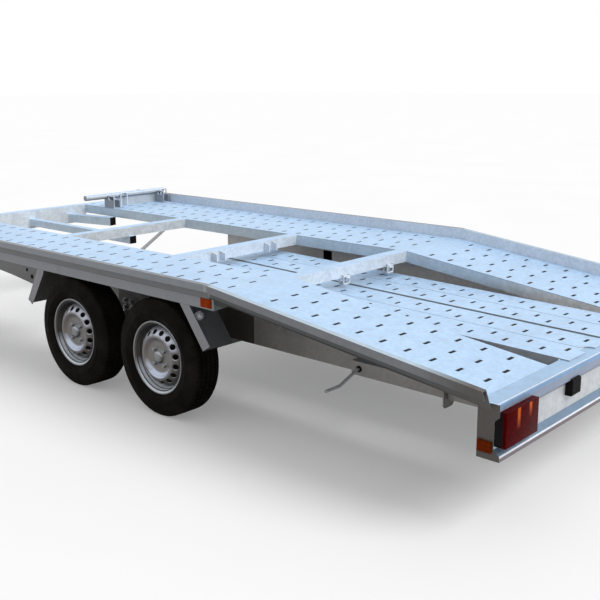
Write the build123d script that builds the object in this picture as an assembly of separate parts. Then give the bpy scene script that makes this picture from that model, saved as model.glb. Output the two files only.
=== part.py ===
from build123d import *
import math
import os

os.makedirs("parts", exist_ok=True)

# Twin-axle car carrier trailer, millimetres, +X forward, +Y left, +Z up from the ground.
# Stations are measured forward from the crest, where the flat deck meets the sloping tail.

# Wheels and axles
bead_radius = 170.0
tyre_section = 124.0
tyre_width = 176.0
tyre_shoulder = 28.0
tyre_crown_drop = 8.0
wheel_set_in = 119.0
rim_flange_rise = 12.0
rim_width = 148.0
rim_flange = 6.0
rim_wall = 4.0
rim_well = 16.0
disc_ring_y = 46.0
disc_bowl_y = 10.0
vent_ring_radius = 126.0
bowl_rim_radius = 96.0
bowl_floor_radius = 74.0
vent_count = 16
vent_sides = 8
vent_radius = 11.0
rear_wheel_x = 409.0
wheel_spacing = 692.0
axle_tube = 80.0
arm_reach = 110.0
arm_width = 34.0
arm_depth = 58.0
spindle_radius = 20.0
drum_radius = 112.0
drum_width = 62.0
hub_cap_radius = 32.0
hub_cap_length = 34.0
stud_radius = 9.0
stud_count = 4
stud_sides = 6
stud_ring_radius = 50.0

# Deck and tracks
sheet = 3.0
track_inner_y = 472.0
track_outer_y = 1061.0
lip_height = 62.0
lip_end_top = 33.0
lip_end_foot = 63.0
flat_length = 3168.0
tail_angle = 6.8
rear_member_front_x = -1362.0
slot_pitch = 122.4
slot_length = 46.0
slot_width = 16.0
slot_end_margin = 70.0
first_row = 64.0
row_spacing = 138.0
flat_first_inner = 148.0
flat_first_middle = 87.0
tail_first_inner = 128.0
tail_first_middle = 188.0

# Side rail, a folded sheet under and outside the lip, with its tapered end behind the crest
side_depth = 62.0
wheel_gap = 10.0
lip_wall = 4.0
bead_width = 25.0
bead_depth = 32.0
side_set_in = 17.0
side_flange = 36.0
side_end_x = -14.0
side_tip_x = -117.0
sill_height = 60.0
sill_flange = 34.0

# Cross beams, square tubes flush with the deck, the front one deeper
beam_height = 60.0
beam_width = 74.0
front_beam_depth = 132.0
second_beam_x = 1894.0
third_beam_x = 838.0

# Rear cross member, a channel with end plates
member_height = 210.0
member_depth = 88.0
member_wall = 4.0
member_band = 46.0
member_step = 20.0
member_step_height = 18.0
member_lip_out = 24.0
member_lip_rise = 42.0
member_lip_face = 20.0
member_rise = 7.0
member_front_lip = 24.0
member_flare = 58.0

# Chassis rails under the tracks, with a window between the axles
rail_set_out = 88.0
rail_wall = 5.0
rail_flange = 50.0
rail_depth = 354.0
rail_front_depth = 180.0
rail_front_x = 1560.0
rail_drop_x = 1420.0
rail_window_x = 625.0
rail_window_width = 70.0
rail_window_top = 90.0
rail_window_height = 120.0

# Tubes outside the rails under the tail, each with a hanging bracket
tail_tube_front_x = -472.0
tail_tube_width = 45.0
tail_tube_height = 64.0
tail_tube_wall = 4.0
bracket_x = -985.0
bracket_out = 34.0
bracket_drop = 34.0
bracket_rise = 38.0
bracket_corner = 12.0

# Drawbar, its arms level under the front beam and then dropping to the nose
arm_set_back = 478.0
arm_rear_y = 432.0
drawbar_length = 1072.0
drawbar_level = 510.0
drawbar_width = 60.0
drawbar_height = 60.0
nose_y = 78.0
nose_drop = 190.0
cap_thickness = 3.0
spine_width = 50.0
spine_rear_x = 1885.0
brace_width = 32.0
brace_thickness = 6.0
brace_beam_y = -300.0
brace_sill_x = 1277.0

# Nose plate, overrun housing and bellows
nose_length = 190.0
nose_wall = 8.0
housing_length = 210.0
housing_radius = 42.0
shaft_radius = 27.0
bellows_radius = 36.0
bellows_fold = 7.0
bellows_length = 90.0
ring_count = 6

# Coupling head, a socket for the towing ball, with its closing handle
coupling_reach = 410.0
ball_below_nose = 40.0
ball_diameter = 50.0
head_width = 84.0
head_height = 78.0
head_wall = 8.0
grip_radius = 11.0
grip_rise = 66.0

# Handbrake lever
lever_length = 420.0
lever_width = 34.0
lever_thick = 8.0
lever_angle = 24.0
lever_grip = 32.0

# Ramps stored between the tracks
ramp_width = 384.0
ramp_gap = 12.0
ramp_overlap = 40.0
ramp_front_x = 968.0
ramp_depth = 45.0
ramp_sheet = 4.0
ramp_slope = 1.4
ramp_slot_pitch = 173.0
ramp_row_shares = (-0.302, -0.158, 0.158, 0.302)
ramp_notch_radius = 46.0
ramp_crease_width = 4.0
ramp_crease_depth = 1.5
ramp_rest = 40.0
ramp_rest_x = 880.0

# Jockey wheel on the left of the drawbar nose
jockey_set_back = 180.0
jockey_y = 182.0
jockey_radius = 100.0
jockey_width = 50.0
jockey_rim_radius = 62.0
jockey_tube_radius = 24.0
jockey_inner_radius = 19.0
jockey_trail = 34.0
jockey_tube_below = 55.0
jockey_tube_above = 320.0
jockey_crown_gap = 38.0
fork_wall = 6.0
jockey_axle_radius = 8.0
crank_radius = 7.0
crank_reach = 120.0
knob_radius = 11.0
clamp_height = 60.0
clamp_below_nose = 18.0

# Lamps, markers and reflectors
lamp_width = 231.0
lamp_height = 130.0
lamp_rise = 55.0
lamp_depth = 42.0
lamp_bevel = 6.0
lamp_set_in = 1.0
plate_lamp_y = 440.0
plate_lamp_width = 70.0
plate_lamp_height = 70.0
plate_lamp_rise = 99.0
plate_lamp_depth = 32.0
marker_width = 58.0
marker_height = 44.0
marker_rise = 26.0
marker_depth = 8.0
reflector_width = 70.0
reflector_height = 44.0

# Wheel guards before and behind the wheel pair: top and foot forward of the wheel, drop below the side rail
guard_inner_y = 830.0
guard_wall = 4.0
guard_strip = 34.0
rear_guard_top = -259.0
rear_guard_foot = -364.0
rear_guard_drop = 188.0
front_guard_top = 319.0
front_guard_foot = 434.0
front_guard_drop = 213.0
gusset_length = 570.0
gusset_depth = 92.0

# Wheel stop on each track
stop_set_back = 338.0
stop_tube_radius = 20.0
stop_tube_rise = 86.0
stop_sheet = 3.0
stop_cheek = 6.0
stop_cheek_rise = 57.0
stop_bracket = 60.0
stop_reach = 100.0
loop_radius = 5.0
stop_left_inner = 480.0
stop_left_outer = 1040.0
stop_right_inner = 290.0
stop_right_outer = 1040.0

# Steady beam with its crank under the tail
steady_x = -515.0
steady_rise = 31.0
steady_width = 40.0
steady_height = 40.0
crank_stub = 15.0
crank_out = 135.0
crank_drop = 45.0
crank_handle = 93.0

# Ears on the third beam and hooks under the crest beam
ear_y = 214.0
ear_gap = 64.0
ear_wall = 8.0
ear_drop = 42.0
hook_radius = 5.0
hook_size = 22.0
hook_right_y = -308.0
hook_left_y = 66.0

# General clearances
seat_clearance = 0.3
running_clearance = 8.0
overrun = 50.0

# Worked out from the sizes above
wheel_radius = bead_radius + tyre_section
rim_flange_radius = bead_radius + rim_flange_rise
wheel_y = track_outer_y - wheel_set_in
wheel_stations = {"front": rear_wheel_x + wheel_spacing, "rear": rear_wheel_x}
side_shares = {"left": 1.0, "right": -1.0}
deck_height = wheel_radius * 2 + wheel_gap + side_depth
side_bottom = deck_height - side_depth
lip_wall_y = track_outer_y - bead_width
side_face_y = lip_wall_y - side_set_in
member_half_width = side_face_y - lip_wall
rail_y = track_inner_y + rail_set_out
rail_outer_y = rail_y + rail_wall
tail_tube_y = rail_outer_y + tail_tube_width
rail_bottom = deck_height - rail_depth
axle_height = rail_bottom - axle_tube / 2
beam_foot = deck_height - beam_height
front_beam_x = flat_length - beam_width
arm_rear_x = flat_length - arm_set_back
nose_x = flat_length + drawbar_length
nose_top = deck_height - nose_drop
coupling_ball_x = nose_x + coupling_reach
coupling_ball_z = nose_top - ball_below_nose
ramp_rear_x = rear_member_front_x - ramp_overlap
jockey_x = nose_x - jockey_set_back
jockey_tube_foot = nose_top - jockey_tube_below
jockey_tube_top = nose_top + jockey_tube_above
fork_crown_z = jockey_radius * 2 + jockey_crown_gap
stop_x = flat_length - stop_set_back
stop_tube_z = deck_height + stop_tube_rise
steady_z = rail_bottom + steady_rise

# The middle of the whole length is the origin
rear_reach = rear_member_front_x - member_depth - (lamp_depth - member_step)
front_reach = coupling_ball_x + head_width / 2
crest_x = -(rear_reach + front_reach) / 2


def block(x0, x1, y0, y1, z0, z1):
    size = Box(abs(x1 - x0), abs(y1 - y0), abs(z1 - z0))
    return Pos((x0 + x1) / 2, (y0 + y1) / 2, (z0 + z1) / 2) * size


def save(node, shape):
    export_step(Pos(crest_x, 0, 0) * shape, "parts/" + node + ".step")


def mirrored(shape, side):
    return shape if side > 0 else mirror(shape, about=Plane.XZ)


def along_x(outline, x0, x1):
    # outline holds (y, z) points, extruded from x0 to x1
    face = Plane.YZ * make_face(Polyline(*outline, close=True))
    return Pos(x0, 0, 0) * extrude(face, amount=x1 - x0)


def along_y(outline, y0, y1):
    # outline holds (x, z) points, extruded from y0 to y1
    face = Plane.XZ * make_face(Polyline(*outline, close=True))
    return Pos(0, y1, 0) * extrude(face, amount=y1 - y0)


def turned(outline):
    # outline holds (radius, y) points, turned about the Y axis
    return revolve(make_face(Polyline(*outline, close=True)), axis=Axis.Y)


def y_cylinder(x, y, z, radius, length):
    return Pos(x, y, z) * Rot(90, 0, 0) * Cylinder(radius, length)


def x_cylinder(x, y, z, radius, length):
    return Pos(x, y, z) * Rot(0, 90, 0) * Cylinder(radius, length)


def rod(points, radius):
    # round bar through (x, y, z) points, with ball corners
    shape = None
    for start, end in zip(points, points[1:]):
        start = Vector(*start)
        end = Vector(*end)
        span = end - start
        part = Plane(origin=start, z_dir=span) * extrude(Circle(radius), amount=span.length)
        part += Pos(end.X, end.Y, end.Z) * Sphere(radius)
        shape = part if shape is None else shape + part
    return shape


tail_slope = math.tan(math.radians(tail_angle))
tail_place = Pos(0, 0, deck_height) * Rot(0, -tail_angle, 0)
tail_length = -rear_member_front_x / math.cos(math.radians(tail_angle))
tail_sheet_length = tail_length - seat_clearance
tail_end_z = deck_height + rear_member_front_x * tail_slope
member_top = tail_end_z + member_rise
member_bottom = member_top - member_height
member_rear_x = rear_member_front_x - member_depth
track_width = lip_wall_y - lip_wall - track_inner_y
ahead_of_crest = block(0, overrun * 2, 0, track_outer_y + overrun, 0, deck_height * 2)


# Perforated track sheets, with slots in four staggered rows
def track_slots(length, first_inner, first_middle):
    rows = []
    for index, start in enumerate((first_inner, first_middle, first_middle, first_inner)):
        y = track_inner_y + first_row + index * row_spacing
        count = int((length - slot_end_margin - start) / slot_pitch) + 1
        rows += [(start + slot_pitch * k, y) for k in range(count)]
    return rows


def track_sheet(length, first_inner, first_middle, direction, extra):
    y_mid = track_inner_y + track_width / 2
    plate = Pos(direction * (length - extra) / 2, y_mid) * Rectangle(length + extra, track_width)
    cuts = [
        Pos(direction * along, y) * Rectangle(slot_width, slot_length)
        for along, y in track_slots(length, first_inner, first_middle)
    ]
    return extrude(plate - cuts, amount=-sheet)


for name, side in side_shares.items():
    flat = Pos(0, 0, deck_height) * track_sheet(flat_length, flat_first_inner, flat_first_middle, 1, 0)
    save("track_sheet_flat_" + name, mirrored(flat, side))
    tail = tail_place * track_sheet(tail_sheet_length, tail_first_inner, tail_first_middle, -1, overrun)
    save("track_sheet_tail_" + name, mirrored(tail - ahead_of_crest, side))


# Side rails along the flat, lips along the tail and folded inner sills
def lip_outline(base, below):
    # closed (y, z) outline of the lip wall with its bead folded outward
    top = base + lip_height
    inner = lip_wall_y - lip_wall
    return [
        (inner, base - below),
        (inner, top),
        (track_outer_y, top),
        (track_outer_y, top - bead_depth),
        (track_outer_y - lip_wall, top - bead_depth),
        (track_outer_y - lip_wall, top - lip_wall),
        (lip_wall_y, top - lip_wall),
        (lip_wall_y, base - below),
    ]


def side_outline():
    fold = deck_height - sheet - lip_wall
    return lip_outline(deck_height, sheet)[:-1] + [
        (lip_wall_y, fold),
        (side_face_y, fold),
        (side_face_y, side_bottom),
        (side_face_y - side_flange, side_bottom),
        (side_face_y - side_flange, side_bottom + lip_wall),
        (side_face_y - lip_wall, side_bottom + lip_wall),
        (side_face_y - lip_wall, deck_height - sheet),
    ]


def side_end():
    # the face carried on behind the crest, tapering up to the tail
    under = sheet + seat_clearance
    outline = [
        (0, side_bottom),
        (side_end_x, side_bottom),
        (side_tip_x, deck_height + side_tip_x * tail_slope - under * 2),
        (0, deck_height - under * 2),
    ]
    return along_y(outline, side_face_y - lip_wall, side_face_y)


def lip_end_cut():
    # what is cut off the lip's slanted rear end, in the tail's own place
    end_x = -tail_length - lip_end_foot
    outline = [
        (end_x, 0),
        (-tail_length - lip_end_top, lip_height),
        (-tail_length - lip_end_top, lip_height + overrun),
        (end_x - overrun, lip_height + overrun),
        (end_x - overrun, 0),
    ]
    return along_y(outline, 0, track_outer_y + overrun)


def sill_outline(top, bottom):
    y = track_inner_y
    return [
        (y, top),
        (y, bottom),
        (y + sill_flange, bottom),
        (y + sill_flange, bottom + lip_wall),
        (y + lip_wall, bottom + lip_wall),
        (y + lip_wall, top),
    ]


for name, side in side_shares.items():
    rail = along_x(side_outline(), 0, flat_length) + side_end()
    save("side_rail_" + name, mirrored(rail, side))
    lip = along_x(lip_outline(0, sheet), -tail_length - lip_end_foot, overrun) - lip_end_cut()
    save("tail_lip_" + name, mirrored(tail_place * lip - ahead_of_crest, side))
    top = deck_height - sheet
    flat_sill = along_x(sill_outline(top, top - sill_height), 0, flat_length)
    tail_sill = tail_place * along_x(sill_outline(-sheet, -sheet - sill_height), -tail_length, overrun)
    save("sill_" + name, mirrored(flat_sill + (tail_sill - ahead_of_crest), side))


# Drawbar arms, square tubes in a V that pass through the front beam
def drawbar_arm(spare):
    # spare widens the tube on every side, for the window that it passes through
    run = math.hypot(nose_x - arm_rear_x, arm_rear_y - nose_y)
    top = beam_foot + spare
    foot = beam_foot - drawbar_height - spare
    outline = [
        (0, top),
        (drawbar_level, top),
        (run, nose_top + spare),
        (run, nose_top - drawbar_height - spare),
        (drawbar_level, foot),
        (0, foot),
    ]
    bar = along_y(outline, -drawbar_width / 2 - spare, drawbar_width / 2 + spare)
    turn = -math.degrees(math.atan2(arm_rear_y - nose_y, nose_x - arm_rear_x))
    return Pos(arm_rear_x, arm_rear_y, 0) * Rot(0, 0, turn) * bar


for name, side in side_shares.items():
    save("drawbar_" + name, mirrored(drawbar_arm(0), side))

# Cross beams between the tracks: node, rear face and depth
beams = (
    ("cross_beam_front", front_beam_x, front_beam_depth),
    ("cross_beam_second", second_beam_x, beam_height),
    ("cross_beam_third", third_beam_x, beam_height),
    ("cross_beam_crest", 0, beam_height),
)
arm_window = drawbar_arm(seat_clearance)
for name, station, depth in beams:
    beam = block(station, station + beam_width, -track_inner_y, track_inner_y, deck_height - depth, deck_height)
    if depth > beam_height:
        beam -= arm_window + mirror(arm_window, about=Plane.XZ)
    save(name, beam)

# Spine tube from the front beam to the second beam, end caps, and the diagonal brace
half_spine = spine_width / 2
spine_foot = beam_foot - spine_width
save("spine_tube", block(spine_rear_x, front_beam_x, -half_spine, half_spine, spine_foot, beam_foot))
arm_turn = math.degrees(math.atan2(arm_rear_y - nose_y, nose_x - arm_rear_x))
arm_cap = Pos(arm_rear_x, arm_rear_y, beam_foot - drawbar_height / 2) * Rot(0, 0, -arm_turn) * (
    Pos(-cap_thickness / 2, 0, 0) * Box(cap_thickness, drawbar_width, drawbar_height))
spine_cap = block(spine_rear_x - cap_thickness, spine_rear_x, -half_spine, half_spine,
                  beam_foot - spine_width, beam_foot)
save("tube_caps", spine_cap + arm_cap + mirror(arm_cap, about=Plane.XZ))
brace_beam_x = second_beam_x + beam_width / 2
brace_end_y = track_inner_y - seat_clearance
brace_outline = Polyline(
    (brace_beam_x - brace_width / 2, brace_beam_y),
    (brace_beam_x + brace_width / 2, brace_beam_y),
    (brace_sill_x + brace_width / 2, brace_end_y),
    (brace_sill_x - brace_width / 2, brace_end_y),
    close=True)
brace = extrude(make_face(brace_outline), amount=brace_thickness)
save("deck_brace", Pos(0, 0, beam_foot - brace_thickness) * brace)


# Rear cross member with end plates
def member_outline():
    rear = member_rear_x
    step_x = rear + member_step
    band_z = member_top - member_band
    return [
        (rear, member_top),
        (rear, band_z),
        (step_x, band_z - member_step_height),
        (step_x, member_bottom + member_lip_rise),
        (step_x - member_lip_out, member_bottom + member_lip_face),
        (step_x - member_lip_out, member_bottom),
    ]


def member_section():
    points = member_outline()
    wall = [(x + member_wall, z) for x, z in reversed(points[1:])]
    underside = member_top - member_wall
    lip_rear_x = rear_member_front_x - member_wall
    lip_foot = member_top - member_front_lip
    top = [(member_rear_x + member_wall, underside), (lip_rear_x, underside)]
    lip = [(lip_rear_x, lip_foot), (rear_member_front_x, lip_foot), (rear_member_front_x, member_top)]
    return points + wall + top + lip


plate_inner_y = member_half_width - member_wall
plate_front = [(rear_member_front_x, member_bottom), (rear_member_front_x, member_top)]
end_plate = along_y(member_outline() + plate_front, plate_inner_y, member_half_width)
member = along_y(member_section(), -plate_inner_y, plate_inner_y)
flare_outline = Polyline(
    (rear_member_front_x, member_half_width),
    (rear_member_front_x, lip_wall_y - lip_wall - seat_clearance),
    (rear_member_front_x - member_flare, member_half_width),
    close=True)
end_plate += Pos(0, 0, member_top - member_wall) * extrude(make_face(flare_outline), amount=member_wall)
save("rear_cross_member", member + end_plate + mirror(end_plate, about=Plane.XZ))


# Chassis rails, deep channels under the tracks
def rail_shape():
    under = (sheet + seat_clearance) * 2
    web = [
        (rear_member_front_x, tail_end_z - under),
        (0, deck_height - under),
        (rail_front_x, deck_height - under),
        (rail_front_x, deck_height - rail_front_depth),
        (rail_drop_x, rail_bottom),
        (rear_member_front_x, rail_bottom),
    ]
    plate = along_y(web, rail_y, rail_y + rail_wall)
    window_top = deck_height - rail_window_top
    window = block(rail_window_x, rail_window_x + rail_window_width, rail_y - overrun, rail_y + overrun,
                   window_top - rail_window_height, window_top)
    flange_y = rail_outer_y - rail_flange
    flange_top = rail_bottom + rail_wall
    flange = block(rear_member_front_x, rail_drop_x, flange_y, rail_outer_y, rail_bottom, flange_top)
    return plate - window + flange


for name, side in side_shares.items():
    save("chassis_rail_" + name, mirrored(rail_shape(), side))


# Tail tubes outside the rails, open at both ends, each with a plate hanging behind its crank
def bracket_outline():
    # (y, z) points round the tube's lower outer corner
    foot = rail_bottom - bracket_drop
    out_y = tail_tube_y + bracket_out
    return [
        (rail_outer_y, rail_bottom),
        (rail_outer_y, foot + bracket_corner),
        (rail_outer_y + bracket_corner, foot),
        (out_y - bracket_corner, foot),
        (out_y, foot + bracket_corner),
        (out_y, rail_bottom + bracket_rise),
        (tail_tube_y, rail_bottom + bracket_rise),
        (tail_tube_y, rail_bottom),
    ]


tube_top = rail_bottom + tail_tube_height
tail_tube = block(rear_member_front_x, tail_tube_front_x, rail_outer_y, tail_tube_y, rail_bottom, tube_top)
tail_tube -= block(rear_member_front_x, tail_tube_front_x, rail_outer_y + tail_tube_wall,
                   tail_tube_y - tail_tube_wall, rail_bottom + tail_tube_wall, tube_top - tail_tube_wall)
tail_tube += along_x(bracket_outline(), bracket_x, bracket_x + rail_wall)
save("tail_tubes", tail_tube + mirror(tail_tube, about=Plane.XZ))

# Torsion axles with trailing arms and spindles
drum_y = wheel_y + disc_bowl_y - rim_wall - drum_width
arm_outer_y = drum_y - running_clearance
arm_mid_y = arm_outer_y - arm_width / 2
arm_rise = math.atan2(wheel_radius - axle_height, arm_reach)
arm_span = math.hypot(wheel_radius - axle_height, arm_reach)
spindle_length = drum_width + running_clearance - rim_wall
for name, station in wheel_stations.items():
    tube_x = station + arm_reach
    half_tube = axle_tube / 2
    half_length = arm_outer_y - arm_width
    axle = block(tube_x - half_tube, tube_x + half_tube, -half_length, half_length,
                 axle_height - half_tube, axle_height + half_tube)
    boss = y_cylinder(tube_x, arm_mid_y, axle_height, arm_depth / 2, arm_width)
    eye = y_cylinder(station, arm_mid_y, wheel_radius, arm_depth / 2, arm_width)
    middle = Pos((station + tube_x) / 2, arm_mid_y, (wheel_radius + axle_height) / 2)
    web = middle * Rot(0, math.degrees(arm_rise), 0) * Box(arm_span, arm_width, arm_depth)
    spindle_y = arm_outer_y + spindle_length / 2
    spindle = y_cylinder(station, spindle_y, wheel_radius, spindle_radius, spindle_length)
    for side in side_shares.values():
        axle += mirrored(boss + eye + web + spindle, side)
    save("axle_" + name, axle)


# Wheels, each a tyre round a dished rim with its drum and hub cap
def tyre_shape():
    side_y = tyre_width / 2
    bead_y = rim_width / 2 - rim_flange - seat_clearance
    widest = (rim_flange_radius + wheel_radius) / 2
    half = [
        (bead_radius, bead_y),
        (rim_flange_radius + seat_clearance, bead_y),
        (widest, side_y),
        (wheel_radius - tyre_crown_drop, side_y - tyre_shoulder / 2),
        (wheel_radius, side_y - tyre_shoulder),
    ]
    return turned(half + [(radius, -y) for radius, y in reversed(half)])


def rim_shape():
    half = rim_width / 2
    seat = bead_radius - seat_clearance
    well = seat - rim_well
    outer = [
        (rim_flange_radius, half),
        (rim_flange_radius, half - rim_flange),
        (seat, half - rim_flange),
        (seat, half / 2),
        (well, half / 4),
        (well, -half / 4),
        (seat, -half / 2),
        (seat, rim_flange - half),
        (rim_flange_radius, rim_flange - half),
        (rim_flange_radius, -half),
    ]
    inner = [
        (seat - rim_wall, -half),
        (seat - rim_wall, -half / 2),
        (well - rim_wall, -half / 4),
        (well - rim_wall, half / 4),
        (seat - rim_wall, half / 2),
        (seat - rim_wall, half),
    ]
    face = [
        (well - rim_wall / 2, half / 4),
        (vent_ring_radius, disc_ring_y),
        (bowl_rim_radius, disc_ring_y),
        (bowl_floor_radius, disc_bowl_y),
        (spindle_radius, disc_bowl_y),
    ]
    disc = turned(face + [(radius, y - rim_wall) for radius, y in reversed(face)])
    vents = []
    for k in range(vent_count):
        place = Rot(0, 360 * k / vent_count, 0) * Pos(vent_ring_radius, 0, 0) * Rot(90, 0, 0)
        vents.append(place * extrude(RegularPolygon(vent_radius, vent_sides), amount=overrun * 2, both=True))
    drum_mid_y = disc_bowl_y - rim_wall - drum_width / 2
    drum = y_cylinder(0, drum_mid_y, 0, drum_radius, drum_width)
    bore = y_cylinder(0, drum_mid_y, 0, spindle_radius + seat_clearance, drum_width)
    cap_y = disc_bowl_y + hub_cap_length / 2 - rim_wall
    cap = y_cylinder(0, cap_y, 0, hub_cap_radius, hub_cap_length + rim_wall)
    studs = []
    for k in range(stud_count):
        turn = Rot(0, 360 * (k + 0.5) / stud_count, 0)
        place = turn * Pos(stud_ring_radius, disc_bowl_y + stud_radius / 2, 0)
        stud = extrude(RegularPolygon(stud_radius, stud_sides), amount=stud_radius / 2 + rim_wall, both=True)
        studs.append(place * Rot(90, 0, 0) * stud)
    return turned(outer + inner) + (disc - vents) + (drum - bore) + cap + studs


tyre = tyre_shape()
rim = rim_shape()
for end, station in wheel_stations.items():
    for name, side in side_shares.items():
        place = Pos(station, side * wheel_y, wheel_radius)
        save("tyre_" + end + "_" + name, place * mirrored(tyre, side))
        save("rim_" + end + "_" + name, place * mirrored(rim, side))


# Wheel guards, slanted plates with a folded outer strip, and the front gusset
def guard_shape(top_x, foot_x, foot_z, outward):
    def slanted(width):
        step = width * outward
        return [(top_x, side_bottom), (foot_x, foot_z), (foot_x + step, foot_z), (top_x + step, side_bottom)]

    face = along_y(slanted(guard_wall), guard_inner_y, side_face_y)
    edge = along_y(slanted(guard_strip), side_face_y - guard_wall, side_face_y)
    return face + edge


front_x = wheel_stations["front"]
front_top_x = front_x + front_guard_top
gusset_x = front_top_x + gusset_length
gusset = along_y(
    [
        (front_top_x, side_bottom),
        (gusset_x, side_bottom),
        (gusset_x, side_bottom - gusset_depth / 2),
        (front_top_x + gusset_depth / 2, side_bottom - gusset_depth),
    ],
    side_face_y - guard_wall * 2,
    side_face_y - guard_wall,
)
rear_guard = guard_shape(rear_wheel_x + rear_guard_top, rear_wheel_x + rear_guard_foot,
                         side_bottom - rear_guard_drop, -1)
front_guard = guard_shape(front_top_x, front_x + front_guard_foot, side_bottom - front_guard_drop, 1)
for name, side in side_shares.items():
    save("wheel_guard_rear_" + name, mirrored(rear_guard, side))
    save("wheel_guard_front_" + name, mirrored(front_guard + gusset, side))

# Ramps stored between the tracks, resting on the rear member and a cross angle
ramp_length = ramp_front_x - ramp_rear_x
ramp_place = Pos(ramp_rear_x, 0, member_top + seat_clearance) * Rot(0, -ramp_slope, 0)
flange_start = ramp_overlap + running_clearance


def ramp_shape():
    plate = Pos(ramp_length / 2, 0) * Rectangle(ramp_length, ramp_width)
    cuts = [Circle(ramp_notch_radius)]
    for index, row_share in enumerate(ramp_row_shares):
        start = slot_end_margin + (index % 2) * ramp_slot_pitch / 2
        count = int((ramp_length - slot_end_margin - start) / ramp_slot_pitch) + 1
        cuts += [Pos(start + ramp_slot_pitch * k, row_share * ramp_width) * Rectangle(slot_width, slot_length)
                 for k in range(count)]
    half = ramp_width / 2
    crease = block(-overrun, ramp_length + overrun, -ramp_crease_width / 2, ramp_crease_width / 2,
                   ramp_sheet - ramp_crease_depth, ramp_sheet + ramp_crease_depth)
    ramp = extrude(plate - cuts, amount=ramp_sheet) - crease
    ramp += block(flange_start, ramp_length, -half, -half + ramp_sheet, -ramp_depth, 0)
    return ramp + block(flange_start, ramp_length, half - ramp_sheet, half, -ramp_depth, 0)


ramp_y = (ramp_width + ramp_gap) / 2
ramp = ramp_place * ramp_shape()
for name, side in side_shares.items():
    save("ramp_" + name, Pos(0, side * ramp_y, 0) * ramp)
rest_rise = (ramp_rest_x - ramp_rear_x) * math.sin(math.radians(ramp_slope))
rest_top = member_top + rest_rise - ramp_depth
rest = block(ramp_rest_x, ramp_rest_x + ramp_rest, -rail_y, rail_y, rest_top - rail_wall, rest_top)
rest += block(ramp_rest_x, ramp_rest_x + rail_wall, -rail_y, rail_y, rest_top - ramp_rest, rest_top)
save("ramp_rest", rest)

# Drawbar nose plate, overrun housing and bellows
nose_foot = nose_top - drawbar_height
plate_half = nose_y + drawbar_width / 2
save("drawbar_nose", block(nose_x - nose_length, nose_x + housing_length / 2, -plate_half, plate_half,
                           nose_foot - nose_wall, nose_foot))
shaft_z = nose_foot + housing_radius
housing_x = nose_x - drawbar_width / 2
bellows_x = housing_x + housing_length
housing = x_cylinder(housing_x + housing_length / 2, 0, shaft_z, housing_radius, housing_length)
housing += block(housing_x, bellows_x, -housing_radius, housing_radius, nose_foot, shaft_z)
save("overrun_housing", housing)
fold_pitch = bellows_length / ring_count
valley_radius = bellows_radius - bellows_fold
folds = []
for k in range(ring_count):
    folds += [(bellows_x + fold_pitch * k, valley_radius), (bellows_x + fold_pitch * (k + 0.5), bellows_radius)]
head_rear_x = bellows_x + bellows_length
bellows_outline = Polyline((bellows_x, 0), *folds, (head_rear_x, valley_radius), (head_rear_x, 0), close=True)
save("overrun_bellows", Pos(0, 0, shaft_z) * revolve(make_face(bellows_outline), axis=Axis.X))

# Coupling head with its ball socket, open below, and its closing handle
socket_radius = ball_diameter / 2 + seat_clearance
head_top = coupling_ball_z + ball_diameter / 2 + head_wall
head_foot = head_top - head_height
neck = block(head_rear_x, coupling_ball_x, -head_width / 2, head_width / 2, coupling_ball_z, head_top)
neck += x_cylinder((head_rear_x + coupling_ball_x) / 2, 0, shaft_z, shaft_radius, coupling_ball_x - head_rear_x)
dome = Pos(coupling_ball_x, 0, (head_foot + head_top) / 2) * Cylinder(head_width / 2, head_height)
mouth_length = coupling_ball_z - head_foot + overrun
socket = Pos(coupling_ball_x, 0, coupling_ball_z) * Sphere(socket_radius)
socket += Pos(coupling_ball_x, 0, coupling_ball_z - mouth_length / 2) * Cylinder(socket_radius, mouth_length)
handle = along_y(
    [
        (head_rear_x + head_wall, head_top - head_wall),
        (coupling_ball_x - head_wall, head_top - head_wall),
        (head_rear_x + head_width, head_top + grip_rise),
        (head_rear_x - head_wall, head_top + grip_rise),
    ],
    -grip_radius,
    grip_radius,
)
save("coupling_head", (neck + dome + handle) - socket)

# Handbrake lever on the right of the overrun housing
lever = Pos(lever_length / 2, 0, 0) * Box(lever_length, lever_thick, lever_width)
lever += y_cylinder(lever_length, 0, 0, lever_width / 2, lever_grip)
lever_place = Pos(housing_x + lever_width, -housing_radius - lever_thick / 2, shaft_z)
save("handbrake_lever", lever_place * Rot(0, -lever_angle, 0) * lever)

# Jockey wheel column with its crank
column_height = jockey_tube_top - jockey_tube_foot
bore_height = column_height - jockey_tube_radius
bore = Cylinder(jockey_inner_radius + seat_clearance, bore_height)
bore = Pos(0, 0, (bore_height - column_height) / 2) * bore
column = Cylinder(jockey_tube_radius, column_height) - bore
crank_z = jockey_tube_top + jockey_inner_radius
column = Pos(jockey_x, jockey_y, (jockey_tube_foot + jockey_tube_top) / 2) * column
crank_post = Cylinder(crank_radius, crank_z - jockey_tube_top)
column += Pos(jockey_x, jockey_y, (jockey_tube_top + crank_z) / 2) * crank_post
column += x_cylinder(jockey_x - crank_reach / 2, jockey_y, crank_z, crank_radius, crank_reach)
knob_z = crank_z + jockey_tube_radius
column += Pos(jockey_x - crank_reach, jockey_y, knob_z) * Cylinder(knob_radius, jockey_tube_radius * 2)
save("jockey_column", column)

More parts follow.
